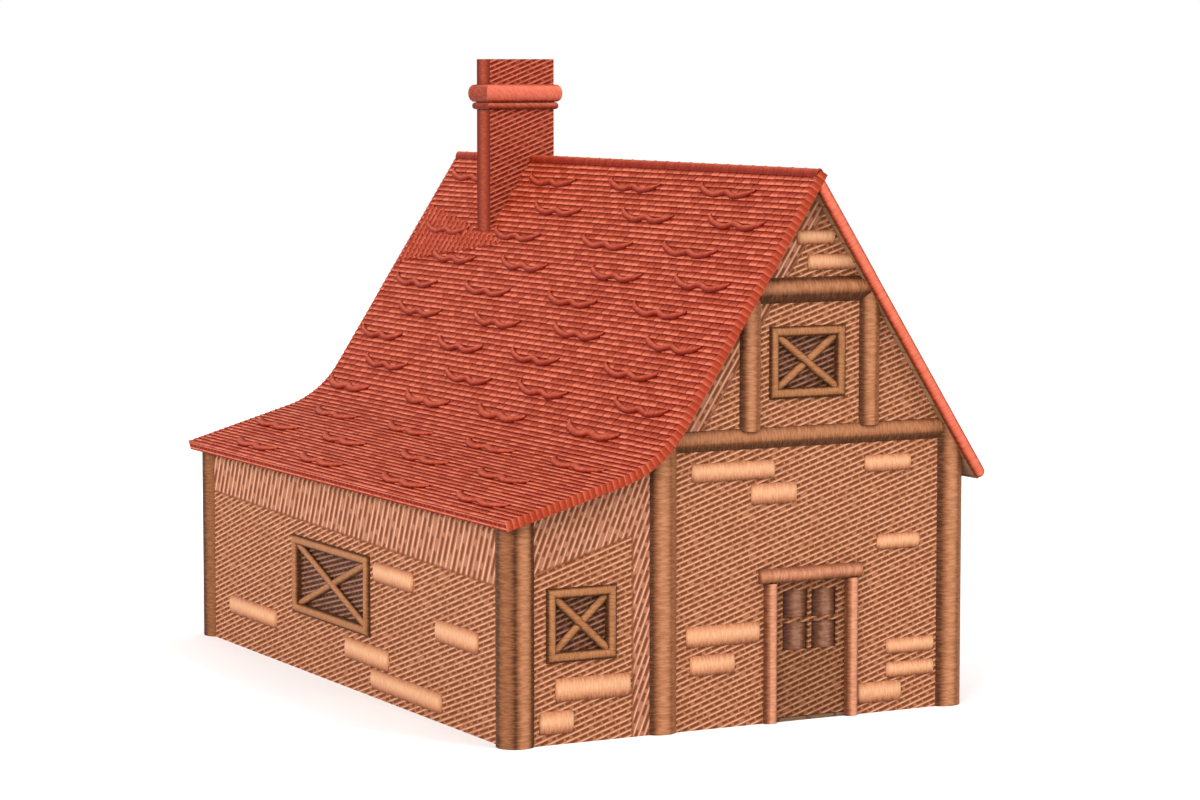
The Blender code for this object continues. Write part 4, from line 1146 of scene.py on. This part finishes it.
def paint_logs():
    for end, turn, shaded_side in zip(("front", "rear"), (1, -1), CORNER_SHADED_SIDES):
        posts = [f"post_{end}_middle", f"post_{end}_right", f"stud_{end}_left", f"stud_{end}_right"]
        beams = [f"tie_beam_{end}", f"collar_{end}"]
        # Painted light on the posts from the front and from their right edge, and on the beams from the
        # front, turned round for the rear
        lights = mirrored(POST_LIGHT, turn, turn), mirrored(POST_EDGE_LIGHT, 1, turn)
        paint(satin(f"log_standing_{end}", LOG, UP, *lights), *posts)
        paint(satin(f"log_lying_{end}", LOG, ACROSS, mirrored(BEAM_LIGHT, 1, turn)), *beams)
        lights = (shaded_side, *CORNER_SHADED_LIGHT), mirrored(CORNER_LIGHT, 1, turn), BEHIND_LIGHT
        paint(satin(f"log_corner_{end}", LOG, UP, *lights), f"post_{end}_left")
        smooth(f"post_{end}_left", *posts, *beams)
    paint(satin("log_inside", LOG, UP, POST_LIGHT, POST_EDGE_LIGHT), "arcade_post")
    paint(satin("log_plate", LOG, BACK, PLATE_LIGHT), "arcade_plate")
    smooth("arcade_post", "arcade_plate", "eaves_plate_left", "eaves_plate_right")


def paint_rest():
    for jamb in ("door_jamb_left", "door_jamb_right"):
        paint(jamb_wood(jamb), jamb)
        smooth(jamb)
    make_lintel(satin("lintel_wood", COPPER, ACROSS))
    door = combed_material("door_boards", DOOR_WOOD, (ACROSS, UP, COMB_TILT))
    paint(door, "door_leaf")
    glass = combed_material("glass_front", GLASS, (ACROSS, UP, COMB_TILT), *GLASS_FINISH)
    glass_side = combed_material("glass_side", GLASS, (TO_FRONT, UP, GLASS_SIDE_TILT), *GLASS_FINISH)
    paint(glass, "door_glass", "lean_to_window_glass", "rear_window_glass")
    paint(glass, "gable_window_front_glass", "gable_window_rear_glass")
    paint(glass_side, "right_window_glass", "side_window_glass")
    paint(flagstone_material(), "ground_floor")
    paint(board_material("loft_boards", LOFT_BOARD), "loft_floor")
    paint(iron_material(), "hinge_pin_lower", "hinge_pin_upper", "hinge_strap_lower", "hinge_strap_upper")
    make_door_panes(satin("pane_glass", GLASS, UP, pitch=GRAIN_COARSE))


def make_chimney():
    brick = brick_material()
    # The band and the thin brick roll under it carry painted light and shade from BAND_LIGHT and
    # CORBEL_LIGHT
    band = satin("chimney_band", HEAD, HEAD_GRAIN, BAND_LIGHT)
    dull = satin("chimney_roll", BRICK, HEAD_GRAIN, CORBEL_LIGHT)
    paint(brick, "chimney_stack")
    make_chimney_head(brick, band, dull)


def make_roof():
    rng = random.Random(SEED)
    clay = tile_material()
    down_slope = tuple((RIGHT_LINE.spot(1.0, 0.0) - RIGHT_LINE.spot(0.0, 0.0)).normalized())
    # The verge rolls, scalloped ridges, long tiles and ridge tiles carry painted light and shade
    roll = satin("verge_clay", ROLL, down_slope, VERGE_LIGHT)
    roll_rear = satin("verge_clay_rear", ROLL, down_slope, mirrored(VERGE_LIGHT, 1, -1))
    mark_left = satin("mark_clay_left", TILE, BACK, MARK_LIGHT)
    mark_right = satin("mark_clay_right", TILE, BACK, mirrored(MARK_LIGHT, -1, -1))
    eave = combed_material("eave_clay", TILE, (BACK, UP, 0.0))
    soffit = board_material("soffit_boards", SOFFIT_BOARD)
    decks = {
        "roof_right": (RIGHT_LINE, 0.0, RIGHT_LINE.eave, ROLL_RADIUS),
        "roof_left": (LEFT_LINE, 0.0, LEFT_LINE.straight, VERGE_PLATE),
        "roof_lean_to": (LEFT_LINE, LEFT_LINE.straight, LEFT_LINE.eave, VERGE_PLATE),
    }
    for node, (line, start, end, inset) in decks.items():
        deck = make_deck(node.replace("roof", "deck"), line, start, end, [eave, soffit], inset)
        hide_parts(node)
    make_tiles("tiles_right", RIGHT_LINE, ROLL_COVER * ROLL_RADIUS, clay, rng)
    make_tiles("tiles_left", LEFT_LINE, PLATE_COVER, clay, rng)
    make_verge_plates("verge_left_front", VERGE_FRONT, 1, clay, rng)
    make_verge_plates("verge_left_rear", VERGE_REAR, -1, clay, rng)
    make_verge_roll("verge_roll_front", VERGE_FRONT + ROLL_RADIUS + VERGE_GAP, roll)
    make_verge_roll("verge_roll_rear", VERGE_REAR - ROLL_RADIUS - VERGE_GAP, roll_rear)
    make_marks("scallops_left", LEFT_LINE, mark_left, "roof_left", "roof_lean_to")
    make_marks("scallops_right", RIGHT_LINE, mark_right, "roof_right")
    make_long_tiles(satin("long_clay", TILE, BACK, LONG_TILE_LIGHT))
    make_ridge(satin("ridge_clay", TILE, BACK, RIDGE_LIGHT))


def make_blocks():
    lying = satin("block_across", BLOCK, ACROSS)
    back = satin("block_back", BLOCK, BACK)
    for name, side, blocks in (
        ("blocks_front", "front", FRONT_BLOCKS),
        ("blocks_gable_front", "front", GABLE_BLOCKS),
        ("blocks_lean_to", "front", LEAN_TO_BLOCKS),
        ("blocks_gable_rear", "rear", GABLE_BLOCKS),
        ("blocks_lean_to_rear", "rear", LEAN_TO_BLOCKS),
        ("blocks_side", "left", SIDE_BLOCKS),
        ("blocks_right", "right", SIDE_BLOCKS),
    ):
        shape = Shape()
        for start, end, low, high in blocks:
            make_block(shape, side, start, end, low, high)
        material = back if side in ("left", "right") else lying
        shape.make(name, [material], 50)


def make_windows():
    for side, along, light, turn, names in (
        ("front", ACROSS, WINDOW_LIGHT, 1, ["gable_window_front", "lean_to_window"]),
        ("rear", ACROSS, WINDOW_LIGHT, -1, ["gable_window_rear", "rear_window"]),
        ("left", BACK, SIDE_WINDOW_LIGHT, 1, ["side_window"]),
        ("right", BACK, SIDE_WINDOW_LIGHT, -1, ["right_window"]),
    ):
        # The frames and crossed bars carry painted light, darker at their edges
        lit = mirrored(light, turn, turn)
        lying = satin(f"window_wood_lying_{side}", BAR, along, lit)
        standing = satin(f"window_wood_standing_{side}", BAR, UP, lit)
        for name in names:
            make_window(name, side, lying, standing)


def add_sun(name, strength, azimuth, elevation, softness):
    lamp = bpy.data.lights.new(name, "SUN")
    lamp.energy = strength
    lamp.angle = math.radians(softness)
    obj = placed(name, lamp)
    obj.rotation_euler = (math.radians(90 - elevation), 0.0, math.radians(azimuth))


def make_stage():
    world = bpy.data.worlds.new("pale_room")
    bpy.context.scene.world = world
    world.use_nodes = True
    background = world.node_tree.nodes["Background"]
    background.inputs["Color"].default_value = (1.0, 1.0, 1.0, 1.0)
    background.inputs["Strength"].default_value = WORLD_STRENGTH
    mesh = bpy.data.meshes.new("floor")
    half = FLOOR_SIZE / 2
    corners = [(-half, -half, 0.0), (half, -half, 0.0), (half, half, 0.0), (-half, half, 0.0)]
    mesh.from_pydata(corners, [], [(0, 1, 2, 3)])
    mesh.materials.append(Material("floor", Roughness=0.9).finish(FLOOR))
    floor = placed("floor", mesh)
    add_sun("key", *KEY_LIGHT)
    add_sun("fill", *FILL_LIGHT)


def make_camera():
    lens = bpy.data.cameras.new("camera")
    lens.lens = CAMERA_LENS
    lens.sensor_width = 36.0
    lens.clip_end = 400.0
    camera = placed("camera", lens)
    camera.location = CAMERA_PLACE
    camera.rotation_euler = [math.radians(turn) for turn in CAMERA_TURN]
    bpy.context.scene.camera = camera
    bpy.context.scene.view_settings.view_transform = "Standard"


make_camera()
make_stage()
paint_walls()
paint_logs()
paint_rest()
make_chimney()
make_roof()
make_blocks()
make_windows()
